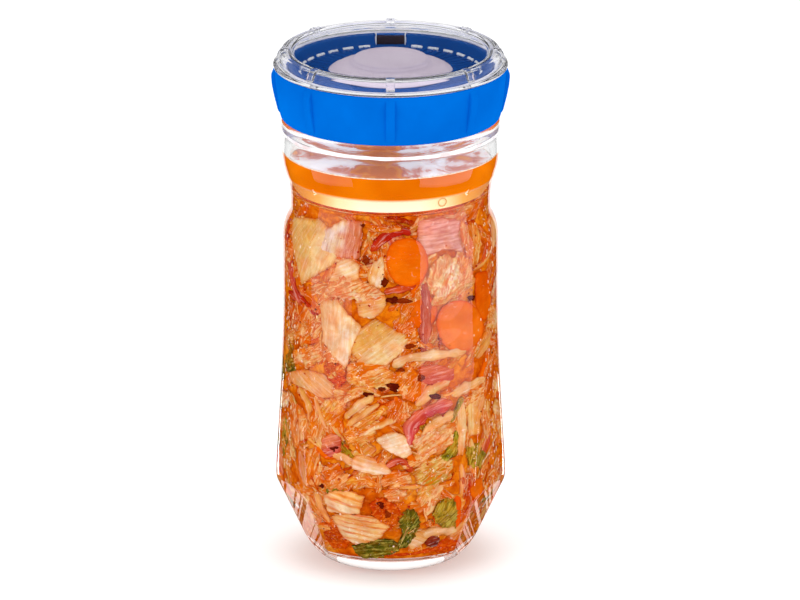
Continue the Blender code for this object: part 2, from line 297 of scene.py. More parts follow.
def plastic(name, color, dark, rough, grain=0.12, spec=0.5):
    m = Nodes(name)
    v = m.coords()
    cloud = m.noise(v, 28.0, 3.0)
    m.color(m.ramp(cloud, [(0.3, dark), (0.7, color)]))
    m.set(Specular_IOR_Level=spec)
    m.link(m.ramp(m.noise(v, 160.0, 2.0), [(0.3, (rough - 0.05,) * 3), (0.7, (rough + 0.07,) * 3)]), m.bsdf.inputs["Roughness"])
    m.normal(m.bump(m.noise(v, 2600.0, 2.0), grain, 0.0001))
    return m.mat


def food(name, rough=0.5, scale=140.0, fibres=0.3, light=0.3, fibre_size=0.0011, along=0.16, stain=(0.5, 0.12, 0.01), pale=(0.9, 0.7, 0.5), spots=0.4, cloudy=0.16, bump=0.4, creases=0.0, painted_glints=0.0):
    """Vegetable flesh: the piece's own colour, clouded, with stained and pale fibres along the piece and specks of seasoning."""
    m = Nodes(name)
    own = m.add("ShaderNodeAttribute", attribute_name="tint").outputs["Color"]
    v = m.coords()
    uv = m.add("ShaderNodeUVMap", uv_map="grain").outputs["UV"]
    cloud = m.noise(v, scale, 3.0, 0.55)
    base = m.mix(1.0, own, m.ramp(cloud, [(0.32, (1 - cloudy, 1 - cloudy * 1.3, 1 - cloudy * 1.6)), (0.66, (1.05, 1.05, 1.05))]), "MULTIPLY")
    # fibres: noise drawn out along the piece
    stretch = m.add("ShaderNodeMapping")
    stretch.inputs["Scale"].default_value = (along, 1.0, 1.0)
    m.link(uv, stretch.inputs["Vector"])
    fibre = m.noise(stretch.outputs["Vector"], 1.0 / fibre_size, 3.0, 0.6, 0.5)
    base = m.mix(m.ramp(fibre, [(0.53, (0, 0, 0)), (0.66, (light,) * 3)]), base, pale)
    base = m.mix(m.ramp(fibre, [(0.35, (fibres,) * 3), (0.50, (0, 0, 0))]), base, stain)
    # thin wandering creases, each a line of stain with a pale line beside it: partly seasoning gathered in the fold,
    # partly painted shade in the fold and a painted highlight on its edge
    if creases:
        bend = m.noise(stretch.outputs["Vector"], 0.45 / fibre_size, 2.0, 0.5, 1.6)
        base = m.mix(m.ramp(bend, [(0.455, (0, 0, 0)), (0.49, (creases,) * 3), (0.525, (0, 0, 0))]), base, stain)
        base = m.mix(m.ramp(bend, [(0.53, (0, 0, 0)), (0.56, (creases * 0.6,) * 3), (0.60, (0, 0, 0))]), base, pale)
    # specks and smears of red pepper
    fine = m.noise(v, scale * 2.6, 4.0, 0.65, 0.5)
    base = m.mix(m.ramp(fine, [(0.57, (0, 0, 0)), (0.66, (spots,) * 3)]), base, stain)
    # painted highlights: small white glints for light caught on wet spots
    if painted_glints:
        wet = m.noise(v, scale * 2.9, 2.0, 0.5, 1.4)
        base = m.mix(m.ramp(wet, [(0.66, (0, 0, 0)), (0.74, (painted_glints,) * 3)]), base, srgb(255, 240, 226))
    m.color(base)
    m.set(Roughness=rough, Specular_IOR_Level=0.0)
    m.normal(m.bump(m.math("ADD", m.math("MULTIPLY", fibre, 0.7), m.math("MULTIPLY", fine, 0.5)), bump, 0.0005))
    return m.mat


# ---------------------------------------------------------------- camera and light

def camera():
    cam = bpy.data.cameras.new("camera")
    cam.sensor_width = 36.0
    cam.lens = 495.0
    cam.clip_end = 50.0
    ob = bpy.data.objects.new("camera", cam)
    bpy.context.scene.collection.objects.link(ob)
    tilt = math.radians(17.6)
    forward = Vector((0, math.cos(tilt), -math.sin(tilt)))
    up = Vector((0, math.sin(tilt), math.cos(tilt)))
    ob.location = Vector((0.00446, 0, 0.125)) - forward * 5.223 + up * 0.00095
    ob.rotation_euler = (math.radians(90) - tilt, 0, 0)
    bpy.context.scene.camera = ob


def area(name, place, look_at, width, height, watts, color=(1, 1, 1), diffuse=True, glossy=True):
    lamp = bpy.data.lights.new(name, "AREA")
    lamp.shape = "RECTANGLE"
    lamp.size, lamp.size_y = width, height
    lamp.energy = watts
    lamp.color = color
    ob = bpy.data.objects.new(name, lamp)
    bpy.context.scene.collection.objects.link(ob)
    ob.location = place
    ob.rotation_euler = (Vector(look_at) - Vector(place)).to_track_quat("-Z", "Y").to_euler()
    ob.visible_camera = False
    ob.visible_diffuse = diffuse
    ob.visible_glossy = glossy
    ob.visible_transmission = False
    return ob


def studio():
    scene = bpy.context.scene
    scene.view_settings.view_transform = "Standard"
    world = bpy.data.worlds.new("studio")
    world.use_nodes = True
    tree = world.node_tree
    tree.nodes["Background"].inputs["Color"].default_value = (1, 1, 1, 1)
    toward = tree.nodes.new("ShaderNodeVectorMath")
    toward.operation = "DOT_PRODUCT"
    toward.inputs[1].default_value = (0.0, 0.953, 0.302)
    patch = tree.nodes.new("ShaderNodeMapRange")
    for key, value in (("From Min", 0.915), ("From Max", 0.960), ("To Min", 1.0), ("To Max", 0.03)):
        patch.inputs[key].default_value = value
    co = tree.nodes.new("ShaderNodeTexCoord")
    tree.links.new(co.outputs["Generated"], toward.inputs[0])
    tree.links.new(toward.outputs["Value"], patch.inputs["Value"])
    tree.links.new(patch.outputs[0], tree.nodes["Background"].inputs["Strength"])
    world.cycles_visibility.glossy = False
    scene.world = world
    scene.cycles.max_bounces = 20
    scene.cycles.glossy_bounces = 16
    scene.cycles.transmission_bounces = 16
    scene.cycles.transparent_max_bounces = 16
    scene.cycles.caustics_refractive = True
    # pale floor
    m = Nodes("floor_white")
    m.set(Roughness=0.9, Specular_IOR_Level=0.0, Emission_Color=(1, 1, 1, 1), Emission_Strength=0.25)
    m.color(m.ramp(m.noise(m.coords(), 3.0, 2.0), [(0.3, (0.80, 0.80, 0.80)), (0.7, (0.82, 0.82, 0.82))]))
    # the sweep is lit to white away from the jar, which keeps its soft shadow
    far = m.add("ShaderNodeVectorMath", operation="LENGTH")
    m.link(m.coords(), far.inputs[0])
    lit = m.add("ShaderNodeMapRange", interpolation_type="SMOOTHSTEP")
    for key, value in (("From Min", 0.036), ("From Max", 0.066), ("To Min", 0.13), ("To Max", 0.36)):
        lit.inputs[key].default_value = value
    m.link(far.outputs["Value"], lit.inputs["Value"])
    m.link(lit.outputs[0], m.bsdf.inputs["Emission Strength"])
    # cut into sectors: only what lies beside the foot and straight behind shows in mirror images
    n = 360
    for name, seen in (("floor_mirrored", True), ("floor", False)):
        verts, faces = [], []
        for i in range(n):
            mid = 360.0 * (i + 0.5) / n
            for r0, r1, lo in ((0.0, 0.10, 76.0), (0.10, 4.5, 152.0)):
                # beside the foot it is streaked, as mirror images in wavy glass are
                streak = r0 > 0 or noise.noise(Vector((i * 0.71, 2.7, 0.4))) > 0.03
                if (lo < mid < 360.0 - lo and streak) != seen:
                    continue
                a, b = math.radians(360.0 * i / n), math.radians(360.0 * (i + 1) / n)
                k = len(verts)
                verts += [around(a, max(r0, 1e-4), -0.0002), around(a, r1, -0.0002), around(b, r1, -0.0002), around(b, max(r0, 1e-4), -0.0002)]
                faces.append((k, k + 1, k + 2, k + 3))
        floor = new_object(name, verts, faces, m.mat, smooth_shade=False)
        floor.visible_glossy = seen
    # two narrow glowing strips on each side, seen only as thin lines mirrored in the lower panels
    glow = Nodes("strip_glow")
    glow.color(glow.ramp(glow.noise(glow.coords(), 5.0), [(0.3, (0.8, 0.8, 0.8)), (0.7, (0.8, 0.8, 0.8))]))
    glow.set(Emission_Color=(1, 1, 1, 1), Emission_Strength=4.5)
    verts, faces = [], []
    # (azimuth of the panel's edge, direction that it mirrors, half the width, where it starts and ends)
    for edge, mid, half, near, far in ((51.0, 112.0, 1.3, 0.14, 0.25), (77.0, 150.0, 2.1, 0.11, 0.30)):
        for sign in (-1, 1):
            start = around(math.radians(sign * edge), 0.054, 0.0002)
            a, b = math.radians(sign * (mid - half)), math.radians(sign * (mid + half))
            k = len(verts)
            verts += [start + around(q, d, 0.0) for q, d in ((a, near), (a, far), (b, far), (b, near))]
            faces.append((k, k + 1, k + 2, k + 3))
    strips = new_object("glow_strips", verts, faces, glow.mat, smooth_shade=False)
    strips.visible_camera = strips.visible_diffuse = strips.visible_transmission = strips.visible_shadow = False
    # soft light for the whole object
    area("key_left", (-1.1, -1.0, 1.3), (0, 0, 0.12), 1.0, 1.0, 5.0, glossy=False)
    area("key_right", (1.3, -0.8, 1.0), (0, 0, 0.12), 1.0, 1.0, 3.5, glossy=False)
    # the two tall panels that mirror in the glass
    for name, azimuth, half, low, high, watts in (("panel_left", -63.5, 24.5, 0.022, 0.62, 1.15), ("panel_right", 61.0, 31.4, 0.018, 0.62, 1.75)):
        a = math.radians(azimuth)
        d = 0.30
        width = 2 * d * math.tan(math.radians(half))
        # each is weaker towards its foot
        for part, z0, z1, radiance in (("_foot", low, low + 0.030, watts * 0.6), ("", low + 0.030, high, watts)):
            p = around(a, d, (z0 + z1) / 2)
            area(name + part, p, (0, 0, (z0 + z1) / 2), width, z1 - z0, radiance * math.pi * width * (z1 - z0), color=(0.86, 0.86, 1.0), diffuse=False)


# ---------------------------------------------------------------- the jar

FACETS = (67.5, 112.5, 247.5, 292.5)


def jar_outside():
    pts = [
        (45.5, 236.8), (47.6, 236.8), (48.3, 236.0), (48.3, 217.3), (50.8, 216.7), (51.9, 215.2), (51.9, 212.6),
        (51.1, 210.6), (51.3, 200.0), (50.9, 196.0), (49.6, 190.8), (48.4, 187.6), (47.7, 183.6), (47.2, 179.0),
        (47.2, 173.0), (47.6, 171.0), (48.9, 168.6), (50.0, 166.0), (50.7, 163.4), (51.0, 160.0), (51.0, 125.0),
    ]
    for i in range(1, 9):
        t = i / 8
        pts.append((51.0 + 3.5 * t ** 1.25, 125.0 - 80.0 * t))
    pts += [(54.5, 39.5), (54.25, 37.6), (53.6, 36.0), (52.32, 33.5), (40.99, 9.5), (38.9, 6.4), (35.9, 3.6), (32.2, 1.3),
            (27.5, 0.0), (21.2, 0.0), (18.0, 1.2), (14.0, 1.5), (0.0, 1.5)]
    return pts


INNER = [
    (0.0, 9.2), (24.0, 8.6), (31.0, 9.0), (35.0, 10.6), (37.6, 13.2), (47.9, 35.0), (49.5, 42.0), (49.1, 62.0),
    (48.3, 85.0), (47.4, 120.0), (47.4, 157.0), (46.3, 163.0), (43.9, 172.0), (43.8, 178.0), (44.3, 184.0),
    (46.4, 193.0), (46.7, 199.0), (45.4, 211.0), (44.6, 218.0), (44.6, 236.1),
]
POCKET = 2.4      # how far inside the wall the finest gaps between the vegetables reach


def inner_r(z):
    pts = INNER[3:]
    if z <= pts[0][1]:
        return pts[0][0]
    for (r0, z0), (r1, z1) in zip(pts, pts[1:]):
        if z <= z1:
            return lerp(r0, r1, (z - z0) / (z1 - z0))
    return pts[-1][0]


def facet_limit(phi, z):
    """Distance from the axis to the nearest flat panel or base facet in this direction, or None."""
    best = None
    for deg in FACETS:
        off = (phi - math.radians(deg) + math.pi) % TAU - math.pi
        if abs(off) > 1.0:
            continue
        panel = lerp(51.7, 50.9, (z - 41.0) / 87.0) + 0.35 - (51.7 * math.tan(off)) ** 2 * 0.0031 * smooth(0.0, 0.1, abs(off))
        slope = 49.9 - 0.44 * (36.0 - z)
        # the two planes meet in a soft edge
        h = max(0.8 - abs(panel - slope), 0.0)
        d = (min(panel, slope) - h * h / 3.2) / math.cos(off)
        best = d if best is None else min(best, d)
    return best


def jar_shape(phi, r, z):
    z1 = z / MM
    if z1 > 150.0 or r < 20 * MM:
        return r, z
    lim = facet_limit(phi, z1)
    if lim is None:
        return r, z
    a = r / MM
    h = max(0.35 - abs(a - lim), 0.0)
    return (min(a, lim) - h * h / 1.4) * MM, z


def make_jar(mat):
    out = divided(rounded(jar_outside(), 1.6, 4), 2.8)
    shell = [(r * MM, z * MM) for r, z in out]
    inside = [(0.0, 9.2), (24.0, 8.6), (29.0, 8.8), (32.4, 10.0), (34.0, 12.4)]
    inside += [(inner_r(z) - POCKET - 2.65 * (1 - smooth(24.0, 37.0, z)), z) for z in (15.0, 19.0, 24.0, 28.0, 32.0, 36.0, 42.0, 62.0, 85.0, 120.0, 157.0, 163.0, 172.0, 178.0, 180.4)]
    inside += [(inner_r(z), z) for z in (182.2, 184.0, 193.0, 199.0, 205.0, 211.0, 218.0)] + [(44.6, 236.1)]
    inside = divided(rounded(inside, 1.2, 3), 3.8)
    # the inside is round; the outside carries the panels
    ob_in = lathe("glass_inside", [(r * MM, z * MM) for r, z in inside], mat, 240)
    ob_out = lathe("glass_outside", shell, mat, 240, shape=jar_shape)
    ob = join("jar_glass_body", [ob_out, ob_in])
    bm = bmesh.new()
    bm.from_mesh(ob.data)
    bmesh.ops.remove_doubles(bm, verts=bm.verts, dist=1e-6)
    rim = [e for e in bm.edges if e.is_boundary]
    if rim:
        bmesh.ops.bridge_loops(bm, edges=rim)
    bmesh.ops.recalc_face_normals(bm, faces=bm.faces)
    bm.to_mesh(ob.data)
    bm.free()
    ob.data.polygons.foreach_set("use_smooth", [True] * len(ob.data.polygons))
    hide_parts("glass_jar")
    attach(ob, "root")
    return ob


def make_foot():
    """A pale glowing band low on the heel, just under the surface of the glass: painted light, standing in for the
    bright light that the thick heel glass gathers.
    """
    m = Nodes("heel_glow_white")
    tone = m.ramp(m.noise(m.coords(), 700.0, 3.0), [(0.3, (0.93, 0.92, 0.91)), (0.7, (1.0, 1.0, 1.0))])
    m.color(tone)
    # painted light: the band glows so that it stays white
    m.set(Roughness=0.6, Specular_IOR_Level=0.0, Emission_Color=(1, 1, 1, 1), Emission_Strength=0.40)
    pts = [(28.6, 0.45), (32.1, 1.55), (35.7, 3.85), (38.65, 6.6), (39.5, 7.8), (39.0, 8.0), (38.2, 6.9), (35.4, 4.2), (31.9, 1.95), (28.6, 0.85)]

    def fade(phi, r, z):
        off = abs((math.degrees(phi) + 90.0) % 180.0 - 90.0)
        t = 1 - 0.86 * smooth(38.0, 52.0, off)
        return lerp(28.6 * MM, r, t), lerp(0.62 * MM, z, t)
    ring = lathe("heel_glow_ring", [(r * MM, z * MM) for r, z in divided(rounded(pts, 0.15, 2, closed=True), 2.5)], m.mat, 180, closed=True, shape=fade)
    ring.visible_diffuse = False
    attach(ring, "root")
    # painted highlight: a pale glowing ring for the bright line that the bead round the neck gathers along its lower
    # edge
    m = Nodes("bead_line")
    tone = m.ramp(m.noise(m.coords(), 120.0, 3.0), [(0.38, srgb(222, 196, 196)), (0.52, srgb(246, 238, 244)), (0.7, srgb(255, 255, 255))])
    m.color(tone)
    m.set(Roughness=0.5, Specular_IOR_Level=0.0, Emission_Color=(1, 1, 1, 1), Emission_Strength=0.25)
    pts = [(51.45, 212.5), (51.52, 212.3), (51.05, 211.0), (50.92, 210.6), (50.75, 210.7), (50.85, 211.1), (51.3, 212.3)]
    line = lathe("bead_line", [(r * MM, z * MM) for r, z in rounded(pts, 0.08, 2, closed=True)], m.mat, 240, closed=True,
                 shape=lambda phi, r, z: (r, z + 0.30 * MM * noise.noise(Vector((math.cos(phi) * 7, math.sin(phi) * 7, z * 900)))))
    line.visible_diffuse = False
    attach(line, "root")
    return ring


# ---------------------------------------------------------------- the wall that the vegetables press on

def wall_path():
    """The inside of the wall as (distance along it, radius, height), from the middle of the floor up."""
    pts = divided(rounded(INNER[:16], 2.0, 4), 1.5)
    out, s = [], 0.0
    for i, p in enumerate(pts):
        if i:
            s += math.dist(p, pts[i - 1])
        out.append((s, p[0], p[1]))
    # measure from the height of 35 mm, so that above it the distance is close to the height
    s35 = next(s for s, r, z in out if z >= 35.0)
    return [(s - s35 + 35.0, r, z) for s, r, z in out]


WALL = wall_path()


def wall(w):
    """Radius, height and outward normal (radial, vertical) of the wall at a distance along it, in mm."""
    lo, hi = 0, len(WALL) - 1
    if w <= WALL[0][0]:
        lo, hi = 0, 1
    elif w >= WALL[-1][0]:
        lo, hi = len(WALL) - 2, len(WALL) - 1
    else:
        while hi - lo > 1:
            mid = (lo + hi) // 2
            if WALL[mid][0] <= w:
                lo = mid
            else:
                hi = mid
    (s0, r0, z0), (s1, r1, z1) = WALL[lo], WALL[hi]
    t = (w - s0) / (s1 - s0)
    dr, dz = (r1 - r0) / (s1 - s0), (z1 - z0) / (s1 - s0)
    return lerp(r0, r1, t), lerp(z0, z1, t), dz, -dr


def heel(w):
    """How much further in, in mm, the contents stand behind the thick glass of the lower bevel."""
    return 2.4 * smooth(6.0, 14.0, w) * (1 - smooth(24.0, 37.0, w))


def on_wall(phi, w, depth):
    """A point `depth` mm inside the wall, at an azimuth and a distance along the wall."""
    r, z, nr, nz = wall(w)
    depth += heel(w)
    r = max(r - depth * nr, 0.0)
    return around(phi, r * MM, (z - depth * nz) * MM)


VIEW = math.radians(17.6)
CAM = Vector((0.00446, 0, 0.125)) - Vector((0, math.cos(VIEW), -math.sin(VIEW))) * 5.223 + Vector((0, math.sin(VIEW), math.cos(VIEW))) * 0.00095


def seen_at(p):
    """Where a point of space falls in the 800 x 600 picture."""
    d = p - CAM
    depth = d.y * math.cos(VIEW) - d.z * math.sin(VIEW)
    up = d.y * math.sin(VIEW) + d.z * math.cos(VIEW)
    return 400 + 11000 * d.x / depth, 300 - 11000 * up / depth


def outside_r(z):
    pts = [(36.0, 53.6), (42.0, 54.5), (60.0, 53.9), (90.0, 52.2), (125.0, 51.0), (160.0, 51.0), (166.0, 50.0), (173.0, 47.2), (179.0, 47.2), (188.0, 48.6), (200.0, 51.3)]
    if z < 36.0:
        return max(53.6 - 0.472 * (36.0 - z), 34.0)
    for (z0, r0), (z1, r1) in zip(pts, pts[1:]):
        if z <= z1:
            return lerp(r0, r1, (z - z0) / (z1 - z0))
    return 51.3


def spot(px, py):
    """The azimuth and the distance along the wall that show at a place in the picture.

    The round glass stretches what is inside it to its outer surface, so the place is read off the outside."""
    phi, w = 0.0, 100.0
    for _ in range(25):
        r, z, nr, nz = wall(w)
        ro = outside_r(z)
        x, y = seen_at(around(phi, ro * MM, z * MM))
        s = clamp(math.sin(phi) + (px - x) / (2.105 * ro), -0.995, 0.995)
        phi = math.asin(s)
        w += (y - py) / 2.005 * 0.9
        w = clamp(w, -10.0, 182.0)
    return phi, w


# ---------------------------------------------------------------- vegetable pieces

def paint(r, g, b):
    """The seasoned vegetables' colours, given as screen values."""
    return srgb(r, g, b)


CREAM, PALE, WHITE = (230, 196, 150), (238, 210, 178), (246, 230, 216)
PEACH, SALMON, PINK, ROSE = (240, 184, 138), (234, 152, 112), (226, 160, 156), (210, 96, 92)
CRIMSON, RED = (192, 46, 40), (184, 30, 12)
CARROT, CARROT_LIGHT, ORANGE, RUST = (240, 122, 8), (244, 134, 40), (228, 112, 14), (190, 72, 10)
AMBER, YELLOW, STRAW = (236, 146, 30), (238, 176, 70), (230, 184, 110)
OLIVE, LIME, GREEN, DEEP_GREEN = (186, 156, 44), (160, 152, 22), (112, 106, 20), (74, 84, 18)
MAROON, BROWN = (92, 22, 12), (128, 52, 12)


class Kind:
    """One mesh that gathers every piece of a kind."""

    def __init__(self, name, mat):
        self.name, self.mat = name, mat
        self.verts, self.faces, self.tints, self.grain = [], [], [], []

    def put(self, v, tint, g):
        self.verts.append(v)
        self.tints.append(tint)
        self.grain.append(g)
        return len(self.verts) - 1

    def build(self):
        ob = new_object(self.name, self.verts, self.faces, self.mat)
        face_out(ob)
        mesh = ob.data
        layer = mesh.color_attributes.new("tint", "FLOAT_COLOR", "POINT")
        flat = []
        for t in self.tints:
            flat += [t[0], t[1], t[2], 1.0]
        layer.data.foreach_set("color", flat)
        uv = mesh.uv_layers.new(name="grain")
        loops = [0] * len(mesh.loops)
        mesh.loops.foreach_get("vertex_index", loops)
        co = []
        for i in loops:
            co += self.grain[i]
        uv.data.foreach_set("uv", co)
        mesh.polygons.foreach_set("use_smooth", [True] * len(mesh.polygons))
        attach(ob, "root")
        return ob


def cut_outline(points, n, ease):
    """A closed outline of straight cuts with eased corners, at n even steps."""
    pts = rounded(points, ease, 3, closed=True)
    pts.append(pts[0])
    lengths = [math.dist(a, b) for a, b in zip(pts, pts[1:])]
    step = sum(lengths) / n
    out, i, gone = [], 0, 0.0
    for k in range(n):
        want = k * step
        while i < len(lengths) - 1 and gone + lengths[i] < want:
            gone += lengths[i]
            i += 1
        t = clamp((want - gone) / (lengths[i] + 1e-9))
        out.append((lerp(pts[i][0], pts[i + 1][0], t), lerp(pts[i][1], pts[i + 1][1], t)))
    return out


def open_spline(points, n):
    if len(points) == 2:
        return [tuple(lerp(points[0][a], points[1][a], i / (n - 1)) for a in range(2)) for i in range(n)]
    pts = [tuple(2 * points[0][a] - points[1][a] for a in range(2))] + list(points) + [tuple(2 * points[-1][a] - points[-2][a] for a in range(2))]
    out = []
    m = len(points) - 1
    for i in range(n):
        t = min(i * m / (n - 1), m - 1e-6)
        k = int(t)
        f = t - k
        p = pts[k:k + 4]
        out.append(tuple(0.5 * ((2 * p[1][a]) + (p[2][a] - p[0][a]) * f + (2 * p[0][a] - 5 * p[1][a] + 4 * p[2][a] - p[3][a]) * f * f
                                + (3 * p[1][a] - p[0][a] - 3 * p[2][a] + p[3][a]) * f ** 3) for a in range(2)))
    return out


def tinted(base, rng, spread):
    k = 1 + rng.uniform(-spread, spread)
    return tuple(clamp(c * k * (1 + rng.uniform(-spread, spread) * 0.35), 0, 0.98) for c in base)


def soaked(tint, d, w):
    """What the spicy brine between the glass and a surface d mm behind it makes of its colour; deeper in tone towards the top."""
    d = max(d, 0.0)
    high = smooth(62.0, 118.0, w) * (1 - 0.75 * smooth(0.30, 0.62, tint[2]))
    tint = (tint[0] * (1 - 0.03 * high), tint[1] * (1 - 0.15 * high), tint[2] * (1 - 0.34 * high))
    return (tint[0] * math.exp(-0.06 * d) * 0.975, tint[1] * math.exp(-0.36 * d) * 0.91, tint[2] * math.exp(-1.30 * d) * 0.84)


STAIN = srgb(226, 104, 10)


def slab(kind, outline, depth, thick, tint, rng, grain=0.0, ribs=0.25, wave=3.2, crinkle=0.15, crinkle_size=4.0, ragged=0.35, edge=0.9, sides=52,
         ease=1.6, soak=0.35, second=None, stripe=0.0, rings=(0.0, 0.14, 0.28, 0.42, 0.55, 0.67, 0.78, 0.87, 0.94, 0.98, 1.0)):
    """A cut piece pressed against the wall. outline is in (azimuth, distance along the wall)."""
    n = len(outline)
    cphi = sum(p[0] for p in outline) / n
    cw = sum(p[1] for p in outline) / n
    r0 = max(wall(cw)[0], 20.0)
    loc = cut_outline([((p[0] - cphi) * r0, p[1] - cw) for p in outline], sides, ease)
    seed = Vector((rng.uniform(0, 90), rng.uniform(0, 90), rng.uniform(0, 90)))
    ca, sa = math.cos(grain), math.sin(grain)
    lean_x, lean_y = rng.uniform(-0.02, 0.02), rng.uniform(-0.02, 0.02)
    rows = []
    for t in rings:
        row = []
        for i in range(1 if t == 0 else sides):
            x, y = loc[i]
            d = math.hypot(x, y) + 1e-6
            wob = 1 + ragged / d * (noise.noise(Vector((x * 0.55, y * 0.55, 3.0)) + seed) * 2.0 + noise.noise(Vector((x * 1.6, y * 1.6, 8.0)) + seed)) * t
            x, y = x * t * wob, y * t * wob
            g, c = x * ca + y * sa, -x * sa + y * ca
            h = ribs * math.sin(c * TAU / wave + 2.0 * noise.noise(Vector((g * 0.08, c * 0.15, 0)) + seed)) * (0.6 + 0.4 * noise.noise(Vector((g * 0.2, c * 0.2, 7)) + seed))
            h += crinkle * 2.0 * noise.noise(Vector((x / crinkle_size, y / crinkle_size, 0)) + seed)
            h += crinkle * 0.9 * noise.noise(Vector((x / crinkle_size * 2.7, y / crinkle_size * 2.7, 5)) + seed)
            fall = edge * (1 - math.sqrt(max(0.0, 1 - t ** 9))) + lean_x * x + lean_y * y
            dd = max(depth + fall - h * (1 - 0.5 * t), 0.06)
            col = tint
            if second is not None:
                s = smooth(-0.35, 0.35, c / (0.5 * max(abs(p[1]) + abs(p[0]) for p in loc)) + 0.5 * noise.noise(Vector((g * 0.2, c * 0.2, 2)) + seed))
                col = tuple(lerp(tint[a], second[a], s) for a in range(3))
            wet = clamp(soak * (0.45 + 1.6 * noise.noise(Vector((x * 0.16, y * 0.16, 11)) + seed) + 1.0 * noise.noise(Vector((x * 0.5, y * 0.5, 14)) + seed)), 0.0, 0.8)
            col = tuple(lerp(col[a], STAIN[a], wet) for a in range(3))
            if stripe:
                s = smooth(0.25, 0.85, -math.sin(c * TAU / wave + 2.0 * noise.noise(Vector((g * 0.08, c * 0.15, 0)) + seed) + 1.2 * noise.noise(Vector((g * 0.3, c * 0.2, 30)) + seed)))
                s *= stripe * (0.7 + 0.6 * noise.noise(Vector((g * 0.25, c * 0.25, 20)) + seed))
                col = tuple(lerp(col[a], STAIN[a], clamp(s)) for a in range(3))
            # painted shade: each piece grows darker and more orange towards its rim, where it falls away into the gap
            # between pieces
            k = smooth(0.84, 1.0, t)
            col = (col[0] * (1 - 0.10 * k), col[1] * (1 - 0.36 * k), col[2] * (1 - 0.55 * k))
            col = soaked(col, depth + fall - 2.2 * h, cw + y)
            row.append(kind.put(on_wall(cphi + x / r0, cw + y, dd), col, (g * MM + seed.x, c * MM + seed.y)))
        rows.append(row)
    back = []
    for i in range(sides):
        x, y = loc[i]
        back.append(kind.put(on_wall(cphi + x * 0.92 / r0, cw + y * 0.92, depth + thick), tint, (x * MM, y * MM)))
    mid = kind.put(on_wall(cphi, cw, depth + thick), tint, (0, 0))
    f = kind.faces
    for a, b in zip(rows, rows[1:]):
        for j in range(sides):
            k = (j + 1) % sides
            f.append((a[0], b[j], b[k]) if len(a) == 1 else (a[j], b[j], b[k], a[k]))
    last = rows[-1]
    for j in range(sides):
        k = (j + 1) % sides
        f.append((last[j], back[j], back[k], last[k]))
        f.append((back[j], mid, back[k]))


def strand(kind, spine, width, depth, thick, tint, rng, crinkle=0.15, crinkle_size=3.0, along=26, across=8, taper=0.18, belly=0.7, wander=0.35, second=None,
           ribs=0.0, wave=1.5, soak=0.3):
    """A strip of vegetable lying along the wall. spine is in (azimuth, distance along the wall), width in mm."""
    line = open_spline(spine, along)
    cw = sum(p[1] for p in line) / along
    r0 = max(wall(cw)[0], 20.0)
    cphi = sum(p[0] for p in line) / along
    pts = [((p[0] - cphi) * r0, p[1] - cw) for p in line]
    seed = Vector((rng.uniform(0, 90), rng.uniform(0, 90), rng.uniform(0, 90)))
    lean = rng.uniform(-0.25, 0.25)
    top, under = [], []
    run = 0.0
    for i, (x, y) in enumerate(pts):
        a, b = pts[max(i - 1, 0)], pts[min(i + 1, along - 1)]
        dx, dy = b[0] - a[0], b[1] - a[1]
        n = math.hypot(dx, dy) + 1e-9
        nx, ny = -dy / n, dx / n
        if i:
            run += math.dist(pts[i], pts[i - 1])
        t = i / (along - 1)
        end = min(t, 1 - t) / max(taper, 0.01)
        half = width / 2 * math.sqrt(clamp(1 - (1 - min(end, 1.0)) ** 2, 0.10, 1.0))
        half *= 1 + wander * noise.noise(Vector((run * 0.3, 0, 0)) + seed) * 1.6
        side = wander * width * 0.35 * noise.noise(Vector((run * 0.18, 9, 0)) + seed)
        row, low = [], []
        for j in range(across):
            v = lerp(-1, 1, j / (across - 1))
            px, py = x + nx * (v * half + side), y + ny * (v * half + side)
            h = crinkle * (2.0 * noise.noise(Vector((px / crinkle_size, py / crinkle_size, 1)) + seed) + noise.noise(Vector((px / crinkle_size * 2.5, py / crinkle_size * 2.5, 4)) + seed))
            if ribs:
                h += ribs * math.sin(v * half * TAU / wave + 2.5 * noise.noise(Vector((run * 0.12, v, 0)) + seed))
            fall = belly * (v * v) ** 1.8 + 0.4 * (1 - min(end, 1.0)) + lean * v
            d = max(depth + fall - h, 0.06)
            mixed = tint
            if second is not None:
                s = smooth(-0.3, 0.9, v + 0.5 * noise.noise(Vector((run * 0.25, 2, 0)) + seed))
                mixed = tuple(lerp(tint[q], second[q], s) for q in range(3))
            wet = clamp(soak * (0.45 + 1.8 * noise.noise(Vector((run * 0.2, v * 0.6, 11)) + seed)), 0.0, 0.8)
            col = soaked(tuple(lerp(mixed[q], STAIN[q], wet) for q in range(3)), depth + fall - 2.2 * h, cw + py)
            # painted shade: the strip grows darker and more orange towards both its edges
            k = abs(v) ** 4
            col = (col[0] * (1 - 0.10 * k), col[1] * (1 - 0.34 * k), col[2] * (1 - 0.5 * k))
            g = (run * MM + seed.x, v * half * MM + seed.y)
            row.append(kind.put(on_wall(cphi + px / r0, cw + py, d), col, g))
            if j in (0, across - 1):
                qx, qy = x + nx * (v * half * 0.8 + side), y + ny * (v * half * 0.8 + side)
                low.append(kind.put(on_wall(cphi + qx / r0, cw + qy, depth + thick), tint, g))
        top.append(row)
        under.append(low)
    f = kind.faces
    for i in range(along - 1):
        for j in range(across - 1):
            f.append((top[i][j], top[i + 1][j], top[i + 1][j + 1], top[i][j + 1]))
        f.append((top[i][across - 1], top[i + 1][across - 1], under[i + 1][1], under[i][1]))
        f.append((under[i][1], under[i + 1][1], under[i + 1][0], under[i][0]))
        f.append((under[i][0], under[i + 1][0], top[i + 1][0], top[i][0]))
    for i in (0, along - 1):
        f.append(tuple(list(top[i]) + [under[i][1], under[i][0]]))


def px_outline(points):
    return [spot(x, y) for x, y in points]


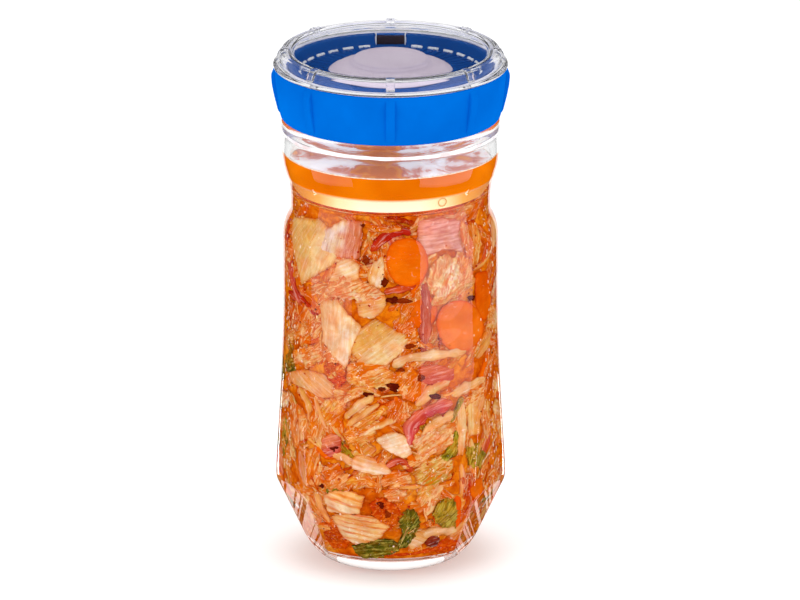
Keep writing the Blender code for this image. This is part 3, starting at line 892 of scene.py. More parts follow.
def make_kinds():
    leaf = food("cabbage_leaf", rough=0.5, scale=240.0, fibres=0.80, light=0.42, fibre_size=0.0019, along=0.26, stain=srgb(214, 90, 6),
                pale=srgb(248, 208, 150), spots=0.55, cloudy=0.3, bump=0.8, creases=0.8, painted_glints=0.8)
    return {
        "lining": Kind("cabbage_leaf_lining", leaf),
        "stem": Kind("cabbage_stem_pieces", food("cabbage_stem", rough=0.5, scale=150.0, fibres=0.22, light=0.16, fibre_size=0.0012, along=0.08, stain=srgb(224, 136, 54),
                                                 pale=srgb(250, 236, 222), spots=0.34, cloudy=0.2, bump=0.35, creases=0.22, painted_glints=0.5)),
        "leaf": Kind("cabbage_leaf_shreds", leaf),
        "green": Kind("green_leaf_pieces", food("green_leaf", rough=0.5, scale=260.0, fibres=0.75, light=0.5, fibre_size=0.0014, along=0.3, stain=srgb(60, 58, 8),
                                                pale=srgb(206, 186, 84), spots=0.15, cloudy=0.3, bump=0.5, creases=0.6, painted_glints=0.35)),
        "carrot": Kind("carrot_slices", food("carrot", rough=0.5, scale=90.0, fibres=0.30, light=0.12, fibre_size=0.0012, along=0.3, stain=srgb(222, 92, 4),
                                             pale=srgb(250, 160, 60), spots=0.25, cloudy=0.18, bump=0.2, painted_glints=0.15)),
        "radish": Kind("red_radish_strips", food("radish", rough=0.5, scale=130.0, fibres=0.45, light=0.4, fibre_size=0.0012, along=0.12, stain=srgb(176, 40, 26),
                                                 pale=srgb(240, 184, 172), spots=0.25, cloudy=0.2, bump=0.2, painted_glints=0.35)),
        "paste": Kind("pepper_paste_clots", food("pepper_paste", rough=0.5, scale=300.0, fibres=0.6, light=0.4, fibre_size=0.0012, along=0.6, stain=srgb(178, 46, 4),
                                                 pale=srgb(246, 150, 60), spots=0.6, cloudy=0.3, bump=0.7, painted_glints=0.5)),
        # bubbles painted near-white as highlights
        "bubble": Kind("bubble_glints", food("bubble_glint_paint", rough=0.4, scale=400.0, fibres=0.0, light=0.2, fibre_size=0.0010, along=0.5, stain=srgb(236, 180, 130),
                                           pale=srgb(255, 250, 245), spots=0.15, bump=0.1)),
        "flake": Kind("pepper_flakes", food("pepper_flake", rough=0.5, scale=500.0, fibres=0.4, light=0.1, fibre_size=0.0008, along=0.6, stain=srgb(90, 10, 4),
                                            pale=srgb(226, 90, 30), spots=0.2, bump=0.4)),
    }


SHAPES = {
    "stem": dict(stripe=0.14, ribs=0.13, wave=2.3, crinkle=0.10, crinkle_size=5.0, ragged=0.35, edge=0.9, ease=1.4, soak=0.30),
    "ribbed": dict(ribs=0.22, wave=3.6, crinkle=0.12, crinkle_size=5.0, ragged=0.5, edge=0.7, ease=0.8, soak=0.30, stripe=0.85, sides=80,
                   rings=tuple((i / 26) ** 0.9 for i in range(27))),
    "leaf": dict(ribs=0.22, wave=1.7, crinkle=0.34, crinkle_size=2.8, ragged=0.9, edge=0.8, ease=1.2, soak=0.45),
    "green": dict(ribs=0.18, wave=1.7, crinkle=0.36, crinkle_size=2.4, ragged=0.9, edge=0.7, ease=1.2, soak=0.15),
    "carrot": dict(ribs=0.0, wave=4.0, crinkle=0.05, crinkle_size=5.0, ragged=0.15, edge=0.5, ease=3.0, soak=0.10),
    "radish": dict(ribs=0.08, wave=2.0, crinkle=0.12, crinkle_size=4.0, ragged=0.3, edge=0.7, ease=1.2, soak=0.15),
    "paste": dict(ribs=0.0, wave=3.0, crinkle=0.5, crinkle_size=1.6, ragged=1.0, edge=0.6, ease=1.5, soak=0.2),
}

# Pieces that stand out: kind, colour, second colour, depth behind the glass in mm, turn of the grain, outline as seen from the front.
SLABS = [
    ("stem", (236, 214, 172), (228, 198, 134), 0.08, 1.15, [(290, 217), (316, 219), (327, 233), (337, 254), (330, 266), (298, 286), (293, 262)]),
    ("radish", PINK, (240, 222, 222), 0.18, 1.45, [(320, 231), (340, 221), (361, 223), (357, 262), (336, 259), (315, 252)]),
    ("stem", PEACH, WHITE, 0.40, 0.5, [(335, 262), (349, 259), (358, 266), (357, 290), (346, 298), (320, 297), (327, 279)]),
    ("leaf", WHITE, PEACH, 0.25, 0.5, [(322, 284), (340, 276), (360, 282), (386, 296), (384, 304), (360, 303), (341, 300), (324, 297)]),
    ("stem", (250, 234, 220), (240, 206, 176), 0.08, 1.5, [(316, 302), (334, 300), (346, 316), (361, 329), (352, 347), (344, 370), (332, 362), (319, 343)]),
    ("leaf", PEACH, SALMON, 0.35, 0.8, [(320, 347), (334, 353), (348, 352), (346, 364), (330, 366), (319, 358)]),
    ("stem", (248, 232, 214), (232, 186, 130), 0.25, 1.3, [(368, 268), (383, 257), (385, 275), (381, 291), (369, 288), (365, 278)]),
    ("stem", PALE, PEACH, 0.45, 0.3, [(352, 296), (366, 290), (387, 298), (384, 312), (370, 322), (356, 318)]),
    ("carrot", CARROT, (236, 112, 4), 0.08, 0.0, [(385, 262), (388, 250), (397, 242), (409, 240), (422, 244), (430, 254), (431, 268), (426, 281), (414, 289), (400, 288), (389, 278)]),
    ("radish", (226, 172, 184), (230, 156, 160), 0.12, 0.0, [(420, 222), (441, 218), (464, 221), (464, 240), (468, 254), (450, 251), (431, 258), (421, 260)]),
    ("leaf", WHITE, PALE, 0.20, 1.3, [(436, 263), (450, 254), (463, 262), (467, 280), (456, 295), (443, 304), (434, 297), (430, 278)]),
    ("leaf", PEACH, AMBER, 0.50, 1.1, [(459, 255), (472, 258), (478, 278), (468, 286), (462, 272)]),
    ("carrot", CARROT_LIGHT, CARROT, 0.10, 0.2, [(438, 322), (444, 308), (457, 301), (471, 302), (483, 311), (488, 327), (484, 342), (473, 352), (457, 354), (444, 345)]),
    ("stem", (240, 220, 184), (226, 192, 124), 0.14, 0.65, [(358, 330), (374, 320), (412, 340), (404, 354), (386, 368), (358, 367), (347, 351)]),
    ("leaf", PALE, AMBER, 0.45, 0.4, [(291, 350), (304, 346), (320, 350), (318, 362), (303, 369), (289, 362)]),
    ("stem", (232, 196, 160), PEACH, 0.30, -0.5, [(284, 372), (303, 370), (321, 376), (331, 388), (330, 399), (316, 400), (302, 390), (289, 384)]),
    ("leaf", (244, 206, 130), AMBER, 0.22, 0.25, [(343, 366), (360, 361), (379, 365), (394, 375), (400, 386), (382, 393), (362, 389), (345, 386)]),
    ("paste", (224, 84, 22), ORANGE, 0.75, 0.3, [(322, 364), (341, 364), (343, 382), (334, 390), (322, 380)]),
    ("leaf", AMBER, YELLOW, 0.60, 0.9, [(316, 402), (334, 399), (343, 412), (336, 430), (322, 426), (315, 414)]),
    ("radish", ROSE, (236, 150, 130), 0.30, 0.4, [(317, 441), (327, 434), (338, 440), (338, 454), (326, 460), (317, 452)]),
    ("stem", (250, 234, 222), PALE, 0.10, 0.3, [(373, 442), (390, 433), (406, 437), (415, 457), (404, 462), (384, 452)]),
    ("leaf", CARROT, AMBER, 0.45, 0.9, [(394, 372), (411, 366), (424, 378), (431, 392), (421, 404), (404, 402), (393, 388)]),
    ("radish", ROSE, (222, 120, 104), 0.45, 0.1, [(420, 369), (438, 366), (458, 370), (458, 381), (440, 386), (422, 387)]),
    ("leaf", PEACH, PALE, 0.30, 0.6, [(412, 446), (428, 432), (446, 426), (460, 424), (460, 440), (446, 452), (424, 462)]),
    ("leaf", PEACH, ORANGE, 0.55, 1.2, [(385, 406), (398, 398), (410, 404), (412, 418), (400, 428), (388, 422)]),
    ("leaf", STRAW, AMBER, 0.50, 0.5, [(340, 432), (356, 424), (376, 430), (374, 444), (356, 450), (342, 444)]),
    ("stem", (250, 228, 212), PEACH, 0.15, -0.2, [(347, 461), (360, 456), (376, 462), (390, 470), (392, 477), (374, 478), (358, 474), (348, 471)]),
    ("leaf", (244, 180, 120), ORANGE, 0.30, 0.3, [(380, 480), (394, 472), (410, 473), (413, 484), (398, 492), (383, 490)]),
    ("leaf", PEACH, ORANGE, 0.45, 0.1, [(379, 492), (396, 490), (410, 494), (404, 504), (388, 504)]),
    ("ribbed", (242, 216, 180), (240, 190, 124), 0.10, -0.18, [(318, 497), (329, 492), (348, 494), (362, 499), (358, 515), (338, 514), (324, 511)]),
    ("ribbed", (240, 214, 176), (238, 192, 126), 0.08, -0.16, [(325, 516), (344, 513), (372, 518), (390, 530), (376, 543), (350, 547), (336, 538)]),
    ("green", (108, 112, 26), DEEP_GREEN, 0.25, 0.15, [(346, 548), (366, 544), (384, 541), (402, 545), (400, 554), (380, 559), (358, 559)]),
    ("green", DEEP_GREEN, (120, 116, 30), 0.15, 1.2, [(399, 522), (405, 513), (417, 512), (424, 520), (421, 536), (411, 550), (397, 551), (404, 536)]),
    ("leaf", OLIVE, (210, 170, 90), 0.30, 0.5, [(413, 474), (426, 462), (444, 458), (458, 464), (456, 480), (440, 488), (420, 487)]),
    ("green", (176, 158, 70), OLIVE, 0.25, 1.2, [(436, 512), (445, 502), (457, 499), (464, 512), (463, 528), (449, 531), (437, 524)]),
    ("leaf", (236, 196, 150), STRAW, 0.35, 0.9, [(418, 490), (436, 484), (448, 488), (444, 502), (430, 514), (420, 508)]),
    ("stem", PALE, (216, 172, 112), 0.30, -0.5, [(408, 548), (416, 536), (430, 530), (438, 534), (428, 546), (414, 553)]),
    ("radish", MAROON, (120, 40, 28), 0.20, 0.3, [(428, 544), (436, 537), (446, 540), (442, 548), (433, 549)]),
    ("paste", (222, 96, 12), RUST, 0.50, 0.5, [(316, 532), (334, 526), (348, 541), (342, 550), (326, 548)]),
    ("paste", (226, 112, 16), (206, 76, 8), 0.55, 0.2, [(366, 504), (382, 500), (398, 508), (402, 522), (390, 534), (376, 524)]),
    ("paste", ORANGE, (222, 90, 8), 0.60, 0.2, [(438, 548), (450, 539), (468, 540), (464, 552), (448, 557)]),
    ("leaf", AMBER, ORANGE, 0.80, 0.6, [(398, 328), (416, 322), (424, 342), (414, 352), (402, 346)]),
    ("leaf", (232, 140, 40), RUST, 0.90, 0.3, [(357, 258), (372, 254), (371, 276), (362, 290), (355, 274)]),
    ("leaf", STRAW, AMBER, 0.55, 1.3, [(464, 222), (482, 224), (486, 246), (480, 270), (470, 262), (466, 240)]),
    ("carrot", (240, 118, 16), ORANGE, 0.35, 0.2, [(474, 484), (486, 478), (489, 492), (480, 502), (474, 496)]),
    ("carrot", CARROT, (224, 100, 4), 0.45, 0.2, [(478, 274), (490, 270), (494, 300), (490, 322), (480, 318)]),
    ("leaf", (236, 190, 140), AMBER, 0.45, 0.2, [(284, 488), (298, 482), (308, 490), (306, 506), (292, 504)]),
    ("leaf", (232, 170, 110), RUST, 0.60, 1.0, [(286, 304), (300, 300), (312, 316), (310, 336), (296, 338), (286, 324)]),
    ("leaf", PEACH, (226, 120, 30), 0.50, 1.4, [(284, 406), (296, 404), (304, 424), (302, 444), (290, 446), (284, 428)]),
    ("leaf", (240, 190, 136), AMBER, 0.45, 1.2, [(304, 412), (314, 410), (322, 430), (318, 444), (306, 440)]),
    ("leaf", (244, 180, 116), ORANGE, 0.55, 0.7, [(318, 466), (334, 464), (346, 478), (342, 492), (324, 492)]),
    ("leaf", (240, 176, 110), AMBER, 0.60, 1.3, [(300, 450), (312, 448), (318, 470), (314, 490), (302, 486)]),
    ("leaf", (226, 120, 30), RED, 0.60, 1.4, [(464, 476), (478, 472), (482, 500), (474, 528), (464, 520)]),
    ("green", (170, 150, 60), OLIVE, 0.50, 1.3, [(470, 450), (484, 444), (492, 456), (486, 470), (474, 468)]),
    ("stem", (238, 214, 190), PEACH, 0.40, 1.5, [(461, 404), (469, 402), (472, 430), (468, 458), (461, 456)]),
]
STRIPS = [
    ("radish", RED, 0.20, 10, [(369, 254), (380, 243), (391, 236), (404, 233), (412, 236)], CRIMSON),
    ("radish", (206, 84, 50), 0.55, 9, [(384, 294), (400, 291), (420, 287)], ROSE),
    ("leaf", (222, 170, 90), 0.15, 11, [(434, 307), (450, 298), (465, 288), (479, 279)], (236, 206, 150)),
    ("radish", (178, 84, 84), 0.45, 10, [(426, 286), (428, 312), (426, 356)], (200, 110, 100)),
    ("radish", ROSE, 0.30, 8, [(286, 222), (286, 248), (290, 283), (297, 304)], CRIMSON),
    ("leaf", STRAW, 0.45, 8, [(344, 396), (360, 391), (380, 397)], AMBER),
    ("stem", PEACH, 0.50, 7, [(295, 388), (303, 404), (306, 424)], STRAW),
    ("stem", PEACH, 0.45, 6, [(310, 398), (315, 414), (322, 430)], None),
    ("leaf", STRAW, 0.60, 9, [(283, 392), (290, 404), (297, 418)], OLIVE),
    ("stem", PALE, 0.30, 8, [(342, 420), (356, 408), (372, 398)], PEACH),
    ("stem", (240, 192, 140), 0.35, 7, [(344, 428), (360, 417), (378, 406)], None),
    ("leaf", PEACH, 0.40, 8, [(336, 408), (348, 398), (362, 392)], None),
    ("leaf", STRAW, 0.40, 10, [(350, 434), (368, 422), (390, 410)], YELLOW),
    ("stem", PALE, 0.35, 7, [(356, 440), (374, 430), (396, 420)], AMBER),
    ("stem", (240, 210, 180), 0.08, 10, [(393, 369), (410, 361), (438, 357), (470, 352)], None),
    ("stem", PALE, 0.30, 10, [(418, 408), (434, 393), (454, 380)], SALMON),
    ("radish", (206, 70, 84), 0.12, 14, [(411, 448), (414, 428), (430, 414), (456, 404)], (230, 130, 120)),
    ("stem", PEACH, 0.30, 10, [(420, 452), (428, 436), (442, 424), (460, 414)], PALE),
    ("stem", PALE, 0.35, 10, [(456, 397), (472, 388), (489, 379)], None),
    ("leaf", PEACH, 0.45, 9, [(468, 405), (479, 398), (489, 388)], None),
    ("green", OLIVE, 0.50, 6, [(467, 398), (462, 410), (455, 424)], None),
    ("green", (166, 156, 30), 0.25, 11, [(462, 432), (458, 450), (444, 466)], (120, 112, 16)),
    ("stem", PINK, 0.55, 9, [(295, 452), (297, 470), (302, 488)], PEACH),
    ("leaf", YELLOW, 0.55, 9, [(340, 486), (358, 482), (380, 490)], AMBER),
    ("stem", (244, 190, 150), 0.35, 8, [(322, 452), (340, 460), (350, 466)], None),
    ("leaf", (244, 190, 140), 0.40, 10, [(404, 470), (424, 460), (444, 448), (462, 438)], PEACH),
    ("radish", (206, 80, 50), 0.50, 8, [(384, 471), (400, 464), (414, 474)], ROSE),
    ("stem", PALE, 0.35, 10, [(447, 487), (438, 498), (430, 516)], None),
    ("stem", (232, 200, 158), 0.12, 11, [(424, 540), (440, 533), (463, 531)], PALE),
    ("carrot", (240, 96, 18), 0.45, 7, [(461, 498), (464, 512), (464, 528)], None),
    ("paste", (222, 84, 28), 0.50, 5, [(386, 558), (404, 557), (422, 555), (444, 549)], None),
    ("stem", PEACH, 0.50, 5, [(466, 466), (468, 482), (466, 498)], SALMON),
    ("green", (206, 186, 120), 0.06, 3, [(412, 526), (406, 538), (400, 550)], None),
    ("radish", RUST, 0.65, 9, [(286, 292), (300, 304), (312, 320)], CRIMSON),
    ("paste", (170, 40, 10), 0.60, 6, [(384, 221), (402, 222), (416, 225)], None),
    ("leaf", AMBER, 0.35, 8, [(360, 224), (380, 231), (404, 230)], (206, 90, 8)),
    ("leaf", CREAM, 0.55, 7, [(282, 418), (284, 440), (288, 462)], OLIVE),
    ("leaf", PEACH, 0.60, 9, [(490, 400), (492, 420), (493, 440)], STRAW),
    ("leaf", OLIVE, 0.50, 7, [(478, 462), (484, 450), (490, 440)], STRAW),
    ("stem", PALE, 0.55, 6, [(476, 440), (478, 456), (484, 468)], None),
    ("stem", PEACH, 0.60, 7, [(310, 494), (316, 508), (322, 524)], None),
    ("leaf", (220, 110, 30), 0.55, 9, [(474, 300), (480, 330), (472, 356)], AMBER),
    ("leaf", AMBER, 0.55, 9, [(492, 330), (480, 350), (470, 368)], OLIVE),
    ("leaf", (240, 170, 100), 0.55, 8, [(400, 352), (420, 346), (436, 350)], ORANGE),
]
DARK_BITS = [(404, 303, 9, 3), (393, 302, 7, 3), (393, 388, 8, 3), (395, 392, 5, 2), (366, 396, 7, 2), (381, 391, 4, 2), (411, 348, 5, 3), (380, 507, 5, 3),
             (388, 516, 4, 3), (330, 450, 5, 2.5), (317, 488, 3, 2), (438, 398, 6, 3), (402, 372, 5, 2), (384, 284, 4, 5),
             (361, 227, 3, 2), (364, 262, 4, 4), (475, 299, 4, 3), (423, 379, 4, 3)]


def flow(phi, w):
    """The direction that strands lie in, turning slowly from place to place."""
    p = Vector((math.cos(phi) * 1.5, math.sin(phi) * 1.5, w * 0.026))
    return 0.25 + 2.2 * noise.noise(p * 1.25 + Vector((3.3, 1.7, 8.1)))


def make_contents():
    kinds = make_kinds()
    rng = random.Random(41)
    for kind, col, second, depth, grain, pts in SLABS:
        mesh = kinds["stem" if kind == "ribbed" else kind]
        slab(mesh, px_outline(pts), depth, 1.9, paint(*col), rng, grain=grain, second=paint(*second), **SHAPES[kind])
    for kind, col, depth, width, pts, second in STRIPS:
        spine = px_outline(pts)
        mid = spine[len(spine) // 2][0]
        along = abs(spine[-1][0] - spine[0][0]) * 50 / (abs(spine[-1][1] - spine[0][1]) + abs(spine[-1][0] - spine[0][0]) * 50 + 1e-6)
        wide = width / 2.1 / lerp(max(math.cos(mid), 0.25), 1.0, along)
        soft = kind in ("leaf", "green", "paste")
        strand(kinds[kind], spine, wide, depth, 1.9, paint(*col), rng, crinkle=0.28 if soft else 0.10, ribs=0.12 if soft else 0.05,
               second=paint(*second) if second else None)
    for x, y, w, h in DARK_BITS:
        pts = [(x + w * math.cos(a) * (1 + 0.3 * math.sin(3 * a + x)), y + h * math.sin(a)) for a in (TAU * i / 7 for i in range(7))]
        slab(kinds["flake"], px_outline(pts), 0.10, 1.0, paint(*rng.choice([MAROON, (110, 34, 10), (140, 50, 12)])), rng, ragged=0.6, edge=0.3, crinkle=0.2,
             crinkle_size=1.2, sides=22, ease=0.5, soak=0.0, rings=(0.0, 0.4, 0.7, 0.9, 1.0))

    def ribbon(phi, w, name, col, second, deep, length, width, spread, thin=False, into=None):
        """A strip that lies with the flow."""
        r0 = max(wall(w)[0], 25)
        turn = flow(phi, w) + rng.gauss(0.0, spread)
        bend = rng.uniform(-0.35, 0.35) * length
        c, s = math.cos(turn), math.sin(turn)
        pts = []
        for t in (-0.5, -0.17, 0.17, 0.5):
            x, y = t * length, bend * (0.25 - t * t) + rng.uniform(-0.04, 0.04) * length
            pts.append((phi + (x * c - y * s) / r0, clamp(w + x * s + y * c, -4.0, 181.0)))
        soft = name in ("leaf", "green", "paste")
        if soft:
            col, second = ((c[0] * 0.98, c[1] * 0.93, c[2] * 0.80) for c in (col, second))
        strand(kinds[into or name], pts, width, deep, 1.5, tinted(paint(*col), rng, 0.10), rng, crinkle=0.30 if soft else 0.1, ribs=0.14 if soft and not thin else 0.0,
               along=12 if thin else 18, across=4 if thin else 7, second=tinted(paint(*second), rng, 0.1), soak=0.1 if thin else 0.35, belly=0.3 if thin else 0.7)

    leaves = [("leaf", STRAW, AMBER), ("leaf", PEACH, ORANGE), ("leaf", AMBER, YELLOW), ("leaf", CREAM, AMBER), ("leaf", PEACH, STRAW), ("leaf", ORANGE, AMBER)]
    others = [("stem", PALE, PEACH), ("stem", PEACH, STRAW), ("stem", CREAM, AMBER), ("paste", ORANGE, RUST), ("radish", ROSE, SALMON), ("green", OLIVE, LIME), ("carrot", CARROT, ORANGE)]
    # wide leafy shreds that line the wall
    for i in range(300):
        phi, w = rng.uniform(-math.pi, math.pi), rng.uniform(8.0, 179.0)
        front = abs(phi) < 1.35
        ribbon(phi, w, *rng.choice(leaves), rng.uniform(0.95, 1.5) if front else rng.uniform(0.7, 1.4), rng.uniform(14, 26), rng.uniform(4.5, 8.5), 0.3, into="lining")
    # narrower shreds of everything over them
    for i in range(190):
        phi, w = rng.uniform(-math.pi, math.pi), rng.uniform(8.0, 179.0)
        front = abs(phi) < 1.35
        ribbon(phi, w, *rng.choice(leaves + leaves + others), rng.uniform(0.7, 1.1) if front else rng.uniform(0.3, 0.9), rng.uniform(9, 20), rng.uniform(2.4, 5.0), 0.45)
    # cut pieces round the sides and the back, and a few deep ones in front
    for i in range(150):
        back = i < 118
        phi, w = (rng.uniform(1.3, TAU - 1.3) if back else rng.uniform(-1.3, 1.3)), rng.uniform(14.0, 172.0)
        deep = rng.uniform(0.1, 0.8) if back else rng.uniform(0.9, 1.2)
        r0 = max(wall(w)[0], 25)
        name, col, second = rng.choice([("stem", CREAM, (226, 178, 104)), ("stem", PALE, PEACH), ("stem", (240, 216, 188), PALE), ("stem", PEACH, WHITE), ("leaf", WHITE, PEACH),
                                        ("leaf", STRAW, AMBER), ("leaf", PEACH, ORANGE), ("leaf", YELLOW, AMBER), ("radish", PINK, (232, 206, 204)), ("radish", ROSE, SALMON),
                                        ("carrot", CARROT, CARROT_LIGHT), ("green", GREEN, OLIVE)])
        a, b = rng.uniform(7.0, 13.0), rng.uniform(4.0, 8.0)
        turn = flow(phi, w) + rng.gauss(0.0, 0.5)
        n = rng.choice([4, 5, 5, 6, 7])
        if name == "carrot":
            a = b = rng.uniform(8.0, 11.5)
            n = 11
        start = rng.uniform(0, TAU)
        ring = []
        for q in range(n):
            t = start + TAU * (q + (0 if name == "carrot" else rng.uniform(-0.22, 0.22))) / n
            k = 1 if name == "carrot" else rng.uniform(0.8, 1.15)
            x, y = a * k * math.cos(t), b * k * math.sin(t)
            ring.append((phi + (x * math.cos(turn) - y * math.sin(turn)) / r0, clamp(w + x * math.sin(turn) + y * math.cos(turn), 0.0, 180.0)))
        slab(kinds[name], ring, deep, 1.7, tinted(paint(*col), rng, 0.07), rng, grain=turn, second=tinted(paint(*second), rng, 0.07), sides=40, **SHAPES[name])
    # fine pale and orange shreds close to the glass
    for i in range(170):
        phi, w = rng.uniform(-math.pi, math.pi), rng.uniform(6.0, 180.0)
        name, col = rng.choice([("stem", PALE), ("stem", PEACH), ("leaf", STRAW), ("leaf", ORANGE), ("paste", (214, 84, 10)), ("paste", RUST), ("leaf", AMBER)])
        ribbon(phi, w, name, col, col, rng.uniform(0.15, 0.7), rng.uniform(4, 11), rng.uniform(0.6, 1.5), 0.5, thin=True)
    for i in range(320):
        phi, w = rng.uniform(-math.pi, math.pi), rng.uniform(4.0, 180.0)
        q = rng.uniform(0.25, 0.75)
        r0 = max(wall(w)[0], 25)
        ring = [(phi + q * rng.uniform(0.5, 1.5) * math.cos(t) / r0, w + q * rng.uniform(0.4, 1.1) * math.sin(t)) for t in (TAU * j / 5 for j in range(5))]
        slab(kinds["flake"], ring, rng.uniform(0.08, 0.5), 0.8, paint(*rng.choice([RED, CRIMSON, RUST, (204, 60, 10), MAROON, (150, 50, 8)])), rng, ribs=0, crinkle=0.05,
             ragged=0.1, edge=0.2, sides=9, ease=0.2, soak=0.0, rings=(0.0, 0.7, 1.0))
    # small bubbles of gas against the glass, most of them to the sides, painted near-white: their colour is a painted
    # highlight for the light the bubbles catch
    for i in range(420):
        phi = rng.choice([-1, 1]) * rng.uniform(0.0, math.pi) if i % 5 == 0 else rng.choice([-1, 1]) * rng.gauss(1.30, 0.12)
        w = rng.uniform(8.0, 180.0)
        q = rng.uniform(0.2, 0.62)
        r0 = max(wall(w)[0], 25)
        stretch = rng.uniform(0.8, 2.4)
        ring = [(phi + q * math.cos(t) / r0, w + q * stretch * math.sin(t)) for t in (TAU * j / 7 for j in range(7))]
        slab(kinds["bubble"], ring, rng.uniform(0.06, 0.2), 0.5, paint(255, rng.randint(226, 246), rng.randint(205, 240)), rng, ribs=0, crinkle=0.0, ragged=0.1, edge=0.2,
             sides=9, ease=0.2, soak=0.0, rings=(0.0, 0.7, 1.0))
    obs = {}
    for name, k in kinds.items():
        obs[name] = k.build()
    # the mass behind them, uneven, down to the floor and across the top
    m = food_core()
    steps, rows = 240, []
    verts, faces = [], []
    ws = [WALL[0][0] + i * (182.0 - WALL[0][0]) / 150 for i in range(151)]
    start = next(i for i, w in enumerate(ws) if wall(w)[0] > 3.0)
    bottom = len(verts)
    verts.append(Vector((0, 0, 9.7 * MM)))
    for w in ws[start:]:
        row = []
        floor_t = smooth(2.0, 16.0, w)
        for j in range(steps):
            phi = TAU * j / steps
            p = Vector((math.cos(phi) * 48, math.sin(phi) * 48, w))
            h = 0.5 + 0.5 * noise.noise(p * 0.28) + 0.35 * noise.noise(p * 0.9)
            depth = lerp(0.45, 1.45 + 0.65 * clamp(h), floor_t)
            row.append(len(verts))
            verts.append(on_wall(phi, w, depth))
        rows.append(row)
    for dr, z in ((1.0, 182.5), (3.0, 182.4), (10.0, 181.9), (22.0, 181.5), (34.0, 181.6)):
        row = []
        for j in range(steps):
            phi = TAU * j / steps
            r = 41.9 - dr
            p = Vector((math.cos(phi) * r, math.sin(phi) * r, 182))
            row.append(len(verts))
            verts.append(around(phi, r * MM, (z - 0.9 * abs(noise.noise(p * 0.25))) * MM))
        rows.append(row)
    top = len(verts)
    verts.append(Vector((0, 0, 181.4 * MM)))
    for a, b in zip(rows, rows[1:]):
        for j in range(steps):
            k = (j + 1) % steps
            faces.append((a[j], a[k], b[k], b[j]))
    for j in range(steps):
        k = (j + 1) % steps
        faces.append((bottom, rows[0][k], rows[0][j]))
        faces.append((rows[-1][j], rows[-1][k], top))
    core = face_out(new_object("kimchi_core", verts, faces, m))
    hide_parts("kimchi")
    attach(core, "root")
    return obs, core


def food_core():
    m = Nodes("core_paste_gap_shade")
    v = m.coords()
    a = m.noise(v, 60.0, 5.0, 0.6, 0.8)
    b = m.noise(v, 260.0, 5.0, 0.62, 0.6)
    # the paste's own deep orange, kept darker and redder than the pieces in front: partly painted shade for the gaps
    # between them
    base = m.ramp(a, [(0.30, srgb(170, 56, 2)), (0.42, srgb(212, 92, 4)), (0.55, srgb(232, 126, 12)), (0.68, srgb(234, 150, 46))])
    base = m.mix(m.ramp(b, [(0.40, (0.6,) * 3), (0.54, (0.0,) * 3)]), base, srgb(176, 58, 4))
    m.color(m.mix(m.ramp(b, [(0.58, (0.0,) * 3), (0.72, (0.35,) * 3)]), base, srgb(240, 170, 84)))
    m.set(Roughness=0.5, Specular_IOR_Level=0.0)
    m.normal(m.bump(b, 0.6, 0.0008))
    return m.mat


# ---------------------------------------------------------------- brine, weight

def brine_material():
    m = Nodes("brine")
    v = m.coords()
    z = m.add("ShaderNodeSeparateXYZ")
    m.link(v, z.inputs[0])
    high = m.add("ShaderNodeMapRange")
    high.inputs["From Min"].default_value = 0.1890
    high.inputs["From Max"].default_value = 0.1904
    m.link(z.outputs["Z"], high.inputs["Value"])
    cloud = m.noise(v, 30.0, 2.0)
    tone = m.ramp(cloud, [(0.3, srgb(222, 104, 0)), (0.5, srgb(238, 124, 2)), (0.7, srgb(252, 140, 6))])
    m.color(m.mix(high.outputs[0], srgb(255, 236, 190), tone))
    m.link(m.math("SUBTRACT", 1.0, m.math("MULTIPLY", high.outputs[0], 0.75)), m.bsdf.inputs["Transmission Weight"])
    m.set(Roughness=0.0, IOR=1.06)
    m.normal(m.bump(m.noise(v, 60.0, 2.0), 0.04, 0.0006))
    m.lets_light_through()
    vol = m.add("ShaderNodeVolumeAbsorption")
    vol.inputs["Color"].default_value = (1.0, 0.42, 0.05, 1)
    vol.inputs["Density"].default_value = 45.0
    m.link(vol.outputs[0], m.out.inputs["Volume"])
    return m.mat


